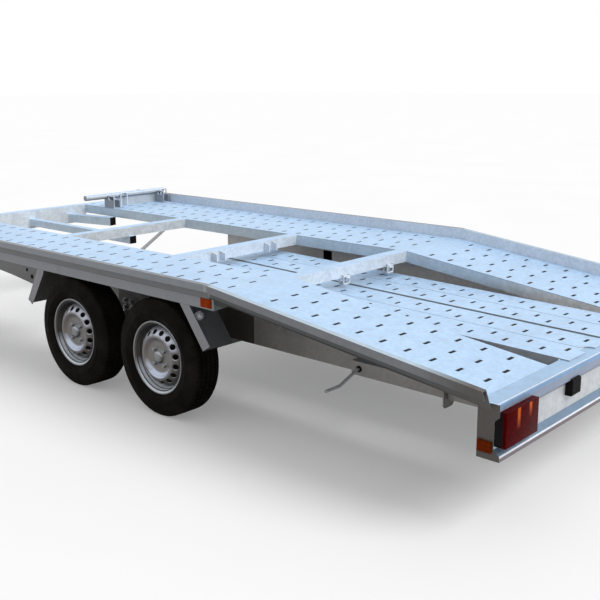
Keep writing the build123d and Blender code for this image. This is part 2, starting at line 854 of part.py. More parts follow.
# Clamp between the left drawbar arm and the column, cut parallel to the arm's face
clamp_z = nose_top - clamp_below_nose
arm_slope = (arm_rear_y - nose_y) / (nose_x - arm_rear_x)
arm_face_y = nose_y + jockey_set_back * arm_slope + drawbar_width / 2 / math.cos(math.radians(arm_turn))
half_clamp = clamp_height / 2
clamp = block(jockey_x - half_clamp, jockey_x + half_clamp, arm_face_y - overrun / 2,
              jockey_y + jockey_tube_radius + rail_wall, clamp_z - half_clamp, clamp_z + half_clamp)
clamp -= Pos(jockey_x, jockey_y, clamp_z) * Cylinder(jockey_tube_radius + seat_clearance, clamp_height)
arm_side = Pos(jockey_x, arm_face_y, clamp_z) * Rot(0, 0, -arm_turn) * Pos(0, seat_clearance - overrun, 0)
clamp -= arm_side * Box(clamp_height * 2, overrun * 2, clamp_height * 2)
save("jockey_clamp", clamp)

# Jockey leg, castor fork and wheel
leg_top = (jockey_tube_foot + jockey_tube_top) / 2 - running_clearance
leg_foot = fork_crown_z + seat_clearance
leg_height = leg_top - leg_foot
leg = Cylinder(jockey_inner_radius, leg_height)
save("jockey_leg", Pos(jockey_x, jockey_y, leg_foot + leg_height / 2) * leg)
axle_x = jockey_x - jockey_trail
fork_half = jockey_width / 2 + running_clearance + fork_wall
crown_front_x = jockey_x + jockey_tube_radius
fork = block(axle_x, crown_front_x, jockey_y - fork_half, jockey_y + fork_half,
             fork_crown_z - fork_wall, fork_crown_z)
half_cheek = jockey_tube_radius / 2
cheek_foot = jockey_radius - jockey_axle_radius * 2
cheek = [
    (axle_x - half_cheek, cheek_foot),
    (axle_x + half_cheek, cheek_foot),
    (crown_front_x, fork_crown_z),
    (axle_x - half_cheek, fork_crown_z),
]
fork += along_y(cheek, jockey_y + fork_half - fork_wall, jockey_y + fork_half)
fork += along_y(cheek, jockey_y - fork_half, jockey_y - fork_half + fork_wall)
fork += y_cylinder(axle_x, jockey_y, jockey_radius, jockey_axle_radius, fork_half * 2)
save("jockey_fork", fork)
half = jockey_width / 2
corner = jockey_width / 6
jockey_tread = turned([
    (jockey_rim_radius, corner - half),
    (jockey_radius - corner, -half),
    (jockey_radius, corner - half),
    (jockey_radius, half - corner),
    (jockey_radius - corner, half),
    (jockey_rim_radius, half - corner),
])
jockey_place = Pos(axle_x, jockey_y, jockey_radius)
save("jockey_tyre", jockey_place * jockey_tread)
pin_radius = jockey_axle_radius + seat_clearance
jockey_hub = turned([
    (pin_radius, -half),
    (pin_radius + corner, -half),
    (pin_radius + corner * 2, -corner),
    (jockey_rim_radius, corner - half),
    (jockey_rim_radius, half - corner),
    (pin_radius + corner * 2, corner),
    (pin_radius + corner, half),
    (pin_radius, half),
])
save("jockey_hub", jockey_place * jockey_hub)

# Rear lamps and plate lamps on the member's web, stepped round the band above it
web_x = member_rear_x + member_step
band_foot_z = member_top - member_band - seat_clearance * 2
lamp_front_x = web_x - seat_clearance


def lamp_shape(depth, foot_z, height, inner_y, outer_y):
    rear_x = web_x - depth
    top_z = foot_z + height
    outline = [
        (lamp_front_x, foot_z),
        (rear_x + lamp_bevel, foot_z),
        (rear_x, foot_z + lamp_bevel),
        (rear_x, top_z - lamp_bevel),
        (rear_x + lamp_bevel, top_z),
        (member_rear_x - seat_clearance, top_z),
        (member_rear_x - seat_clearance, band_foot_z),
        (lamp_front_x, band_foot_z - member_step_height),
    ]
    return along_y(outline, inner_y, outer_y)


lamp_outer_y = member_half_width - lamp_set_in
lamp = lamp_shape(lamp_depth, member_bottom + lamp_rise, lamp_height, lamp_outer_y - lamp_width, lamp_outer_y)
for name, side in side_shares.items():
    save("rear_lamp_" + name, mirrored(lamp, side))
half_plate_lamp = plate_lamp_width / 2
plate_lamp = lamp_shape(plate_lamp_depth, member_bottom + plate_lamp_rise, plate_lamp_height,
                        plate_lamp_y - half_plate_lamp, plate_lamp_y + half_plate_lamp)
save("plate_lamps", plate_lamp + mirror(plate_lamp, about=Plane.XZ))

# Amber markers on the member's end plates and on the side rails
marker_x = rear_member_front_x - marker_width - member_wall
marker_z = member_bottom + marker_rise
marker = block(marker_x, marker_x + marker_width, member_half_width + seat_clearance,
               member_half_width + marker_depth, marker_z, marker_z + marker_height)
reflector = block(0, reflector_width, side_face_y + seat_clearance, side_face_y + marker_depth,
                  side_bottom + running_clearance, side_bottom + running_clearance + reflector_height)
amber = marker + reflector
save("side_markers", amber + mirror(amber, about=Plane.XZ))


# Wheel stops across the front of the tracks, with cheeks and a wire loop at each bracket
def stop_cheek_outline():
    front_x = stop_x + stop_tube_radius
    rear_x = stop_x - stop_reach
    return [
        (front_x, deck_height),
        (front_x, stop_tube_z),
        (stop_x - stop_tube_radius, stop_tube_z),
        (stop_x - stop_tube_radius * 2, deck_height + stop_cheek_rise),
        (rear_x, deck_height + stop_cheek_rise),
        (rear_x, deck_height),
    ]


def stop_shape(inner_y, outer_y):
    stop = y_cylinder(stop_x, (inner_y + outer_y) / 2, stop_tube_z, stop_tube_radius, outer_y - inner_y)
    near = track_inner_y + running_clearance
    far = lip_wall_y - lip_wall - running_clearance
    stop += block(stop_x, stop_x + stop_sheet, near, far, deck_height, stop_tube_z)
    loop_x = stop_x - stop_reach + loop_radius
    cheek_top = deck_height + stop_cheek_rise
    for y in (near, far - stop_bracket):
        stop += along_y(stop_cheek_outline(), y, y + stop_cheek)
        stop += along_y(stop_cheek_outline(), y + stop_bracket - stop_cheek, y + stop_bracket)
        stop += block(stop_x - stop_reach, stop_x, y, y + stop_bracket, deck_height, deck_height + stop_sheet)
        loop_y = y + stop_cheek / 2
        stop += rod([
            (stop_x, loop_y, stop_tube_z),
            (loop_x, loop_y, stop_tube_z),
            (loop_x, loop_y, cheek_top - loop_radius),
        ], loop_radius)
    return stop


save("wheel_stop_left", stop_shape(stop_left_inner, stop_left_outer))
save("wheel_stop_right", mirror(stop_shape(stop_right_inner, stop_right_outer), about=Plane.XZ))

# Steady beam across the rails under the tail, with its crank outside the left tail tube
steady = block(steady_x - steady_width / 2, steady_x + steady_width / 2, -rail_y, rail_y,
               steady_z - steady_height / 2, steady_z + steady_height / 2)
save("steady_beam", steady)
handle_y = tail_tube_y + crank_out
save("steady_crank", rod([
    (steady_x, tail_tube_y + seat_clearance, steady_z),
    (steady_x, tail_tube_y + crank_stub, steady_z),
    (steady_x, handle_y, steady_z - crank_drop),
    (steady_x, handle_y + crank_handle, steady_z - crank_drop),
], crank_radius))

# Ears on the third beam and hooks under the crest beam
ear_face_x = third_beam_x - seat_clearance
ear_outline = [
    (ear_face_x, deck_height - ear_wall),
    (third_beam_x - ear_drop, beam_foot + ear_drop),
    (third_beam_x - ear_drop, beam_foot),
    (ear_face_x, beam_foot),
]
fittings = None
for centre in (-ear_y, ear_y):
    for offset in (-ear_gap / 2, ear_gap / 2):
        ear = along_y(ear_outline, centre + offset - ear_wall / 2, centre + offset + ear_wall / 2)
        fittings = ear if fittings is None else fittings + ear
hook_z = beam_foot - hook_radius
for hook_y in (hook_right_y, hook_left_y):
    near = hook_y - hook_size / 2
    far = hook_y + hook_size / 2
    fittings += rod([
        (hook_radius * 2, near, hook_z),
        (-hook_size / 2, near, hook_z),
        (-hook_size / 2, far, hook_z),
        (hook_radius * 2, far, hook_z),
    ], hook_radius)
save("beam_fittings", fittings)
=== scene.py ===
import math
import random

import bmesh
import bpy
from mathutils import Matrix, Vector


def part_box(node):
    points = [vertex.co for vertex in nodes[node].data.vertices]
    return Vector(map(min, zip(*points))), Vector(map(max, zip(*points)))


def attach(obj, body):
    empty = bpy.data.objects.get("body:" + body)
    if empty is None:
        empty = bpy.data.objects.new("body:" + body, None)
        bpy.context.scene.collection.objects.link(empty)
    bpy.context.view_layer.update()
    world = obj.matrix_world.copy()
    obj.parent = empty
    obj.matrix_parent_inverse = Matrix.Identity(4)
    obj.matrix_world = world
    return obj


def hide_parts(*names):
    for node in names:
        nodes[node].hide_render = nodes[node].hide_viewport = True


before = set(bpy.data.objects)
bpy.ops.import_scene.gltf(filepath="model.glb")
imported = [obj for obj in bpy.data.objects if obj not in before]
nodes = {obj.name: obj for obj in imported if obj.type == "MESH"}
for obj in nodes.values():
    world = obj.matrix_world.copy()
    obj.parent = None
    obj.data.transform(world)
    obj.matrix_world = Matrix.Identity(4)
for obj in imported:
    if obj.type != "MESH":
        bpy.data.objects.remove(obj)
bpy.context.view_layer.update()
MM = 0.001
ENDS = ("front", "rear")
SIDES = {"left": 1, "right": -1}
random.seed(5)

# Places read from the frame, in metres
flat_low, flat_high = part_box("track_sheet_flat_left")
deck_top = flat_high.z
crest_x = flat_low.x
tail_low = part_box("track_sheet_tail_left")[0]
tail_slope = (flat_low.z - tail_low.z) / (crest_x - tail_low.x)
side_face_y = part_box("wheel_guard_rear_left")[1].y
member_low, member_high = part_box("rear_cross_member")
band_foot = member_high.z - 46 * MM
lip_top = member_low.z + 42 * MM
rail_low, rail_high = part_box("chassis_rail_left")
lamp_low, lamp_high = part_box("rear_lamp_left")
wheel_centres = {}
for end in ENDS:
    for side in SIDES:
        low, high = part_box(f"tyre_{end}_{side}")
        wheel_centres[end, side] = (low + high) / 2
wheel_radius = (high.z - low.z) / 2
tyre_half = (high.y - low.y) / 2
low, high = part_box("rim_front_left")
flange_radius = (high.x - low.x) / 2


def at_crest(x_mm):
    """A station in millimetres forward of the crest, in the row frame's metres."""
    return crest_x + x_mm * MM


# Materials, each a tree of procedural nodes
class Tree:
    """Short ways to add nodes to a material or the world. Places are in the row frame, in metres."""

    def __init__(self, owner, surface="Principled BSDF"):
        owner.use_nodes = True
        self.owner = owner
        self.nodes = owner.node_tree.nodes
        self.links = owner.node_tree.links
        self.surface = self.nodes[surface]
        self.place = self.nodes.new("ShaderNodeTexCoord").outputs["Object"]

    def put(self, value, socket):
        """Links the socket to the value if that is another socket, or else sets it."""
        if isinstance(value, bpy.types.NodeSocket):
            self.links.new(value, socket)
        else:
            socket.default_value = value

    def add(self, kind, settings=None, inputs=None):
        node = self.nodes.new("ShaderNode" + kind)
        for key, value in (settings or {}).items():
            setattr(node, key, value)
        for key, value in (inputs or {}).items():
            self.put(value, node.inputs[key])
        return node

    def noise(self, scale, detail=4.0, stretch=None):
        place = self.place
        if stretch:
            place = self.add("Mapping", inputs={"Vector": place, "Scale": stretch}).outputs["Vector"]
        node = self.add("TexNoise", inputs={"Vector": place, "Scale": scale, "Detail": detail})
        return node.outputs["Fac"]

    def cells(self, scale):
        """The outputs of a pattern of cells, with each one's Color and the Distance from its middle."""
        return self.add("TexVoronoi", inputs={"Vector": self.place, "Scale": scale}).outputs

    def spread(self, value, low, high, to_low=0.0, to_high=1.0):
        """Goes from to_low to to_high as the value goes from low to high."""
        node = self.add("MapRange", inputs={"Value": value, "From Min": low, "From Max": high,
                                            "To Min": to_low, "To Max": to_high})
        return node.outputs["Result"]

    def mix(self, factor, a, b, blend="MIX"):
        node = self.add("Mix", {"data_type": "RGBA", "blend_type": blend})
        self.put(factor, node.inputs[0])
        for index, colour in ((6, a), (7, b)):
            self.put((*colour, 1.0) if isinstance(colour, tuple) else colour, node.inputs[index])
        return node.outputs[2]

    def shade(self, colour, value, low, high):
        """The colour times a grey that goes from low to high as value goes from 0.3 to 0.7."""
        return self.mix(1.0, colour, self.spread(value, 0.3, 0.7, low, high), "MULTIPLY")

    def bump(self, height, strength, distance):
        node = self.add("Bump", inputs={"Height": height, "Strength": strength, "Distance": distance})
        self.link("Normal", node.outputs["Normal"])

    def normal(self):
        """The three parts of the direction that a face points in."""
        normal = self.add("NewGeometry").outputs["Normal"]
        return self.add("SeparateXYZ", inputs={"Vector": normal}).outputs

    def facing(self):
        """How far a face points up, from -1 to 1, and how far it points to either side."""
        parts = self.normal()
        return parts["Z"], self.math("ABSOLUTE", parts["Y"])

    def inward(self):
        """1 on the faces that look toward the trailer's middle line, 0 on the rest."""
        parts = self.normal()
        return self.spread(self.times(self.axes()["Y"], parts["Y"]), -0.3, -0.7)

    def math(self, operation, a, b=0.0):
        return self.add("Math", {"operation": operation}, {0: a, 1: b}).outputs[0]

    def times(self, a, b):
        return self.math("MULTIPLY", a, b)

    def axes(self):
        return self.add("SeparateXYZ", inputs={"Vector": self.place}).outputs

    def strip(self, value, low, high, soft):
        """1 between low and high, falling to 0 over the soft width beyond them."""
        rise = self.spread(value, low - soft, low)
        fall = self.spread(value, high, high + soft, 1.0, 0.0)
        return self.times(rise, fall)

    def over_deck(self):
        """The height over the deck, which slopes down behind the crest."""
        place = self.axes()
        behind = self.math("MAXIMUM", self.math("SUBTRACT", crest_x, place["X"]))
        over_flat = self.math("SUBTRACT", place["Z"], deck_top)
        return self.math("ADD", over_flat, self.times(behind, tail_slope))

    def link(self, socket, value):
        self.links.new(value, self.surface.inputs[socket])

    def set(self, **values):
        for key, value in values.items():
            self.surface.inputs[key.replace("_", " ")].default_value = value


def galvanised(name, top, side, under, flank, metallic=0.35, spangle=65.0,
               tones=(), edges=(), lines=(), patches=(), inner=None):
    """Hot-dip zinc: a fine spangle, soft clouds, faint runs down the sides and small dull patches.

    The colours are for faces that point up, ahead or back, down and to the sides, as lit and shaded
    copies: a painted sky reflection on the faces that point up and painted shade on those that point down.
    Tones are bands of painted highlight, painted sky reflection and painted shade on the faces ahead and
    back, edges are rows of painted highlight and painted sky reflection on the upper ones, and lines and
    patches follow the deck: the lines are painted shade, the patches painted light and painted shade.
    The inner colour is painted light reflected from the deck onto the faces that look toward the middle line.
    """
    t = Tree(bpy.data.materials.new(name))
    up, across = t.facing()
    # Lit and shaded copies by the way a face points, with a painted sky reflection on the faces that point up
    colour = t.mix(t.spread(up, 0.35, 0.85), side, top)
    place = t.axes()
    # Bands of painted highlight, painted sky reflection and painted shade
    for low, high, tone in tones:
        colour = t.mix(t.strip(place["Z"], low, high, 2 * MM), colour, tone)
    # Rows of painted highlight and painted sky reflection on the upper faces
    for rear, front, tone in edges:
        row = t.times(t.strip(place["X"], rear, front, MM), t.spread(up, 0.8, 0.95))
        colour = t.mix(row, colour, tone)
    # Painted light and shade on the faces to the sides, and painted shade on those that point down
    colour = t.mix(t.spread(across, 0.55, 0.85), colour, flank)
    colour = t.mix(t.spread(up, -0.35, -0.85), colour, under)
    # Lines of painted shade in the recesses, following the deck
    for low, high, tone in lines:
        uneven = t.times(t.noise(9.0, 3.0), 2 * MM)
        height = t.math("ADD", t.over_deck(), uneven)
        colour = t.mix(t.strip(height, low * MM, high * MM, 1.5 * MM), colour, tone)
    # Patches of painted light and painted shade, following the deck
    for rear, front, low, high, soft, tone in patches:
        along = t.strip(place["X"], rear, front, soft * MM)
        area = t.times(along, t.strip(t.over_deck(), low * MM, high * MM, 2 * MM))
        colour = t.mix(area, colour, tone)
    # Painted light reflected from the deck onto the faces that look inward
    if inner:
        colour = t.mix(t.inward(), colour, inner)
    grey = t.add("RGBToBW", inputs={"Color": t.cells(spangle)["Color"]}).outputs["Val"]
    colour = t.shade(colour, grey, 0.93, 1.028)
    colour = t.shade(colour, t.noise(2.4, 5.0), 0.95, 1.03)
    colour = t.shade(colour, t.noise(14.0, 4.0, (1.0, 1.0, 0.12)), 0.96, 1.03)
    dull = t.spread(t.noise(7.0, 8.0), 0.60, 0.72)
    colour = t.mix(t.times(dull, 0.25), colour, t.shade(colour, grey, 0.72, 0.84))
    t.link("Base Color", colour)
    t.link("Roughness", t.spread(grey, 0.2, 0.8, 0.36, 0.58))
    t.bump(t.noise(420.0, 3.0), 0.12, 0.0006)
    t.set(Metallic=metallic, Specular_IOR_Level=0.3)
    return t.owner


def rubber(name, dark, dusty, roughness=0.72):
    """Black rubber with a film of road dust and a fine grain."""
    t = Tree(bpy.data.materials.new(name))
    dust = t.spread(t.noise(9.0, 7.0), 0.42, 0.70)
    colour = t.mix(dust, dark, dusty)
    colour = t.shade(colour, t.noise(60.0, 4.0), 0.85, 1.1)
    t.link("Base Color", colour)
    t.link("Roughness", t.spread(t.noise(25.0), 0.3, 0.7, roughness - 0.1, roughness + 0.1))
    t.bump(t.noise(900.0, 2.0), 0.2, 0.0004)
    t.set(Specular_IOR_Level=0.05)
    return t.owner


def painted(name, top, side, under, flank, metallic=0.4, roughness=0.34, dust=0.3):
    """Silver paint over pressed steel, with faint clouds, brake dust and small chips.

    The colours for faces that point up, to either side, ahead or back and down are lit and shaded copies:
    a painted sky reflection on top and painted shade below, in whose colour the brake dust and chips show.
    """
    t = Tree(bpy.data.materials.new(name))
    # Lit and shaded copies by the way a face points, with a painted sky reflection on the faces that point up
    up, across = t.facing()
    colour = t.mix(t.spread(across, 0.80, 0.98), side, flank)
    colour = t.mix(t.spread(up, 0.15, 0.50), colour, top)
    colour = t.mix(t.spread(up, -0.15, -0.60), colour, under)
    # Brake dust in random patches, in the colour of the painted shade
    grime_and_shade = t.spread(t.noise(18.0, 7.0), 0.55, 0.75)
    colour = t.mix(t.times(grime_and_shade, dust), colour, under)
    colour = t.shade(colour, t.noise(5.0, 4.0), 0.93, 1.05)
    chips = t.spread(t.noise(130.0, 2.0), 0.70, 0.74)
    colour = t.mix(chips, colour, under)
    t.link("Base Color", colour)
    t.link("Roughness", t.spread(t.noise(40.0), 0.3, 0.7, roughness - 0.06, roughness + 0.12))
    t.bump(t.noise(260.0, 3.0), 0.06, 0.0005)
    t.set(Metallic=metallic, Specular_IOR_Level=0.35)
    return t.owner


def plastic(name, colour, dark):
    """Moulded plastic with a fine grain and slight fading."""
    t = Tree(bpy.data.materials.new(name))
    mixed = t.mix(t.spread(t.noise(12.0, 5.0), 0.35, 0.7), colour, dark)
    t.link("Base Color", mixed)
    t.link("Roughness", t.spread(t.noise(70.0), 0.3, 0.7, 0.37, 0.57))
    t.bump(t.noise(500.0, 2.0), 0.15, 0.0003)
    t.set(Specular_IOR_Level=0.04)
    return t.owner


def lens(name, colour, deep, glints=()):
    """A lamp lens of small prisms, with glints that are painted highlights in its colour.

    A glint is its distance from the middle line, its foot, half its width, the height over which it
    grows to its colour, and that colour.
    """
    t = Tree(bpy.data.materials.new(name))
    edge = t.cells(210.0)["Distance"]
    mixed = t.mix(t.spread(edge, 0.0, 0.7), colour, deep)
    place = t.axes()
    across = t.math("ABSOLUTE", place["Y"])
    # Painted glints: columns of painted highlight that grow upward and fade out at the lens's top
    for middle, foot, half, tall, glint in glints:
        wave = t.times(t.noise(40.0, 2.0), 6 * MM)
        column = t.strip(t.math("ADD", across, wave), middle - half, middle + half, 6 * MM)
        rise = t.spread(place["Z"], foot, foot + tall)
        fall = t.spread(place["Z"], lamp_high.z - 2 * MM, lamp_high.z, 1.0, 0.0)
        mixed = t.mix(t.times(column, t.times(rise, fall)), mixed, glint)
    mixed = t.shade(mixed, t.noise(30.0, 3.0), 0.85, 1.1)
    t.link("Base Color", mixed)
    t.link("Roughness", t.spread(t.noise(50.0), 0.3, 0.7, 0.16, 0.30))
    t.bump(edge, 0.2, 0.0006)
    t.set(Specular_IOR_Level=0.02, Specular_Tint=(*colour, 1.0))
    return t.owner


# The looks of the trailer. In each zinc and paint the colours for faces that point up, ahead or back, down
# and to the sides are lit and shaded copies, with a painted sky reflection on top and painted shade below.
# A face line is its low and high millimetre over the deck and its tone, a painted shade. A patch is its rear
# and front, its low and high millimetre over the deck, its soft width in millimetres and its tone; patches
# are painted light and painted shade. A row of the member's edges is its rear, front and tone, and one of its
# bands its low and high height and tone; these are painted highlights, painted sky reflection and painted
# shade.
# A painted sky reflection, for the upper faces of the tracks and beams
painted_sky_top = (0.54, 0.745, 1.0)
# The painted shade of the lines in the side rail's recesses
grime_and_shade = (0.065, 0.065, 0.06)
# Lit and shaded copies of the beams' zinc: painted sky reflection on top, painted shade underneath
beam_light_and_shade = (painted_sky_top, (0.8, 0.86, 0.92), (0.08, 0.08, 0.09), (0.58, 0.69, 0.79))
# Lit and shaded copies of a duller zinc, dark all round with painted shade for the parts under the deck
dull_light_and_shade = ((0.3, 0.34, 0.38), (0.14, 0.14, 0.13), (0.05, 0.05, 0.05), (0.335, 0.325, 0.31))
# The colour of the painted glints in the red lenses
painted_glint = (0.55, 0.1, 0.012)
tail_start, tail_end = tail_low.x - 100 * MM, at_crest(-15)
flat_start, flat_middle, flat_end = at_crest(-10), at_crest(2000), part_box("side_rail_left")[1].x
# Lines of painted shade under the bead, at the fold under the deck and at the foot of the side rail's faces
face_shade_lines = ((22, 28, grime_and_shade), (-11, -5, grime_and_shade), (-70, -60, (0.13, 0.13, 0.12)))
# Painted light and shade on the flat side rail: painted light low on its rear half, painted shade on the wall
# under the bead, painted light on the bead, and a lighter band at the crest
flat_light_and_shade = (
    (flat_start, flat_middle, -60, -13, 10, (0.27, 0.28, 0.3)),
    (flat_start, flat_end, -3, 20, 10, (0.185, 0.19, 0.195)),
    (flat_start, flat_end, 30, 70, 10, (0.265, 0.285, 0.31)),
    (at_crest(-4), at_crest(4), -3, 66, 4, (0.36, 0.37, 0.37)),
)
# Painted shade on the side rail's faces: just behind the crest, on the lower fold of the tail's lip, under
# the bead on the front half of the flat and at the lip's rear end
face_shade_patches = (
    (at_crest(-130), tail_end, -70, -4, 2, (0.085, 0.1, 0.1)),
    (tail_start, tail_end, -30, 23, 30, (0.105, 0.112, 0.115)),
    (tail_start, tail_end, -30, 3, 30, (0.052, 0.052, 0.05)),
    (flat_middle, flat_end, -58, -13, 15, (0.19, 0.195, 0.185)),
    (tail_start, tail_low.x + 20 * MM, -20, 70, 250, (0.115, 0.11, 0.105)),
)
# Painted light on the sills near the tail
sill_light_patches = ((tail_start, tail_low.x + 450 * MM, -200, -3, 400, (0.84, 0.85, 0.87)),)
# Painted shade on the chassis rails between the wheel guards, and a painted highlight along a plate's edge at
# its rear end
doubler_shade_and_highlight = (
    (at_crest(190), at_crest(1300), -360, -12, 4, (0.09, 0.084, 0.078)),
    (at_crest(184), at_crest(189), -360, -60, 2, (0.42, 0.41, 0.4)),
)
# A blue row of painted sky reflection and a white row of painted highlight along the rear edge of the
# member's top
member_reflection_rows = (
    (member_low.x - MM, member_low.x + 9 * MM, (0.26, 0.42, 0.66)),
    (member_low.x + 12 * MM, member_low.x + 17 * MM, (0.8, 0.88, 1.0)),
)
# Bands on the member's rear face: painted sky reflection and a painted highlight, with painted shade under
# the upper band and at the foot
member_light_and_shade_bands = (
    (band_foot, member_high.z - 14 * MM, (0.32, 0.38, 0.5)),
    (member_high.z - 12 * MM, member_high.z - MM, (0.24, 0.41, 0.64)),
    (band_foot - 22 * MM, band_foot - 2 * MM, (0.5, 0.52, 0.55)),
    (member_low.z + 22 * MM, lip_top, (0.18, 0.26, 0.36)),
    (member_low.z + 17 * MM, member_low.z + 21 * MM, (0.88, 0.92, 0.98)),
    (member_low.z - MM, member_low.z + 14 * MM, (0.22, 0.19, 0.21)),
)
# Tracks, ramps and wheel stops: painted sky reflection on top and painted shade underneath
zinc_track = galvanised(
    "zinc_track", painted_sky_top, (0.56, 0.58, 0.6), (0.1, 0.1, 0.11), (0.34, 0.37, 0.41))
# Dark all round: painted shade for the gloom in the slots and along the ramps' inner edges
zinc_slot_shade = galvanised(
    "zinc_slot_shade", (0.12, 0.14, 0.16), (0.07, 0.08, 0.09), (0.03, 0.03, 0.03), (0.07, 0.08, 0.09))
# The side rails: lit and shaded copies, lines of painted shade, patches of painted light and shade, and
# painted light reflected from the deck on the inner faces
zinc_side = galvanised(
    "zinc_side", (0.5, 0.62, 0.72), (0.24, 0.24, 0.25), (0.1, 0.1, 0.1), (0.22, 0.226, 0.245),
    lines=face_shade_lines, patches=flat_light_and_shade + face_shade_patches, inner=(0.7, 0.755, 0.82))
# Beams and sills in lit and shaded copies; the sills also take patches of painted light near the tail
zinc_beam = galvanised("zinc_beam", *beam_light_and_shade)
zinc_sill = galvanised("zinc_sill", *beam_light_and_shade, patches=sill_light_patches)
# Axles, tail tubes, ramp rests and the steady beam: a duller zinc, darkened with painted shade
zinc_dull_and_shaded = galvanised("zinc_dull_and_shaded", *dull_light_and_shade, metallic=0.2)
# The chassis rails: the same darkened zinc, with painted shade, a painted highlight and painted light on the
# faces that look inward
zinc_rail = galvanised(
    "zinc_rail", *dull_light_and_shade, metallic=0.2, patches=doubler_shade_and_highlight, inner=(0.82, 0.81, 0.82))
# Guards and gussets: lit and shaded copies, with painted shade on the guards' faces ahead and back
zinc_guard = galvanised(
    "zinc_guard", (0.3, 0.33, 0.36), (0.075, 0.072, 0.065), (0.05, 0.05, 0.05), (0.27, 0.27, 0.29), 0.25)
zinc_gusset = galvanised(
    "zinc_gusset", (0.3, 0.33, 0.36), (0.15, 0.15, 0.14), (0.05, 0.05, 0.05), (0.15, 0.155, 0.15), 0.25)
# The rear member: a painted sky reflection on top, painted shade on its end plates, and rows and bands of
# painted light and shade
zinc_member = galvanised(
    "zinc_member", (0.585, 0.79, 1.0), (0.64, 0.67, 0.7), (0.12, 0.1, 0.1), (0.105, 0.095, 0.088),
    tones=member_light_and_shade_bands, edges=member_reflection_rows)
# Bolts, fittings, backings and castings: lit and shaded copies with a painted sky reflection on top
zinc_bolt = galvanised(
    "zinc_bolt", (0.66, 0.7, 0.74), (0.5, 0.52, 0.54), (0.18, 0.18, 0.18), (0.34, 0.36, 0.38), 0.5)
zinc_bright = galvanised(
    "zinc_bright", (0.8, 0.86, 0.93), (0.8, 0.84, 0.88), (0.3, 0.3, 0.3), (0.7, 0.74, 0.8), 0.3, 120.0)
zinc_backing = galvanised(
    "zinc_backing", (0.5, 0.55, 0.6), (0.3, 0.31, 0.32), (0.12, 0.12, 0.12), (0.3, 0.32, 0.33))
cast = galvanised(
    "cast_zinc", (0.56, 0.58, 0.6), (0.46, 0.47, 0.48), (0.16, 0.16, 0.16), (0.34, 0.35, 0.37), 0.5, 120.0)
# The wheels' paints: lit and shaded copies, with a painted sky reflection on faces that point up and painted
# shade on those that point down and aside, darkest inside the barrel
silver = painted(
    "silver_paint", (0.6, 0.64, 0.74), (0.15, 0.138, 0.13), (0.09, 0.082, 0.076), (0.24, 0.23, 0.24))
bowl_paint = painted(
    "bowl_paint", (0.62, 0.7, 0.86), (0.2, 0.18, 0.17), (0.2, 0.18, 0.185), (0.235, 0.225, 0.215),
    dust=0.6)
barrel_paint = painted(
    "barrel_paint", (0.84, 0.91, 1.0), (0.1, 0.093, 0.088), (0.028, 0.025, 0.023), (0.27, 0.275, 0.29),
    0.1, dust=0.08)
hub_zinc = painted(
    "hub_zinc", (0.5, 0.53, 0.58), (0.14, 0.14, 0.14), (0.06, 0.06, 0.06), (0.27, 0.29, 0.295))
# Dark steel for the drums and dust shields, also the painted shade in the rims' creases
drum_steel_and_shade = painted(
    "drum_steel_and_shade", (0.05, 0.045, 0.04), (0.04, 0.035, 0.03), (0.02, 0.018, 0.016), (0.022, 0.019, 0.017),
    0.2, 0.7)
tyre_rubber = rubber("tyre_rubber", (0.0055, 0.0045, 0.0037), (0.014, 0.0115, 0.0098))
bellows_rubber = rubber("bellows_rubber", (0.02, 0.02, 0.02), (0.045, 0.043, 0.04), 0.6)
black_plastic = plastic("black_plastic", (0.006, 0.005, 0.005), (0.012, 0.011, 0.011))
# The red lenses carry two painted glints each
red_lens = lens("red_lens", (0.125, 0.0022, 0.003), (0.045, 0.001, 0.0015), (
    (lamp_high.y - 84 * MM, lamp_low.z + 50 * MM, 7 * MM, 50 * MM, painted_glint),
    (lamp_high.y - 168 * MM, lamp_low.z + 70 * MM, 6 * MM, 50 * MM, painted_glint)))
amber_lens = lens("amber_lens", (0.2, 0.03, 0.005), (0.1, 0.013, 0.002))
orange_lens = lens("orange_lens", (0.42, 0.06, 0.008), (0.22, 0.028, 0.005))
clear_lens = lens("clear_lens", (0.6, 0.62, 0.64), (0.4, 0.42, 0.45))

# Each material and the starts of its nodes' names, where the first that fits counts
NODE_LOOKS = (
    (zinc_dull_and_shaded, ("ramp_rest", "axle", "tail_tubes", "steady_beam")),
    (zinc_track, ("track_sheet", "ramp_", "wheel_stop")),
    (zinc_sill, ("sill",)),
    (zinc_side, ("side_rail", "tail_lip", "deck_brace")),
    (zinc_beam, ("cross_beam", "spine_tube", "drawbar")),
    (zinc_member, ("rear_cross_member",)),
    (zinc_rail, ("chassis_rail",)),
    (zinc_bright, ("beam_fittings",)),
    (zinc_guard, ("wheel_guard",)),
    (cast, ("overrun_housing", "coupling_head", "handbrake_lever")),
    (bellows_rubber, ("overrun_bellows",)),
    (tyre_rubber, ("tyre", "jockey_tyre")),
    (silver, ("rim", "jockey_hub")),
    (zinc_bolt, ("jockey", "steady_crank")),
    (black_plastic, ("rear_lamp", "plate_lamps", "tube_caps")),
    (amber_lens, ("side_markers",)),
)
for name, node in nodes.items():
    look = next(material for material, starts in NODE_LOOKS if name.startswith(starts))
    if not node.data.materials:
        node.data.materials.append(look)
    for slot in node.material_slots:
        slot.material = look


# Mesh building
TIP = 0.1  # the radius in millimetres at which a turned outline meets its axis


def scene_object(name, data):
    """A new object in the scene."""
    obj = bpy.data.objects.new(name, data)
    bpy.context.scene.collection.objects.link(obj)
    return obj


def mesh_object(name, bm, material):
    """A new object from a bmesh, in one material."""
    mesh = bpy.data.meshes.new(name)
    bm.to_mesh(mesh)
    bm.free()
    mesh.materials.append(material)
    return scene_object(name, mesh)


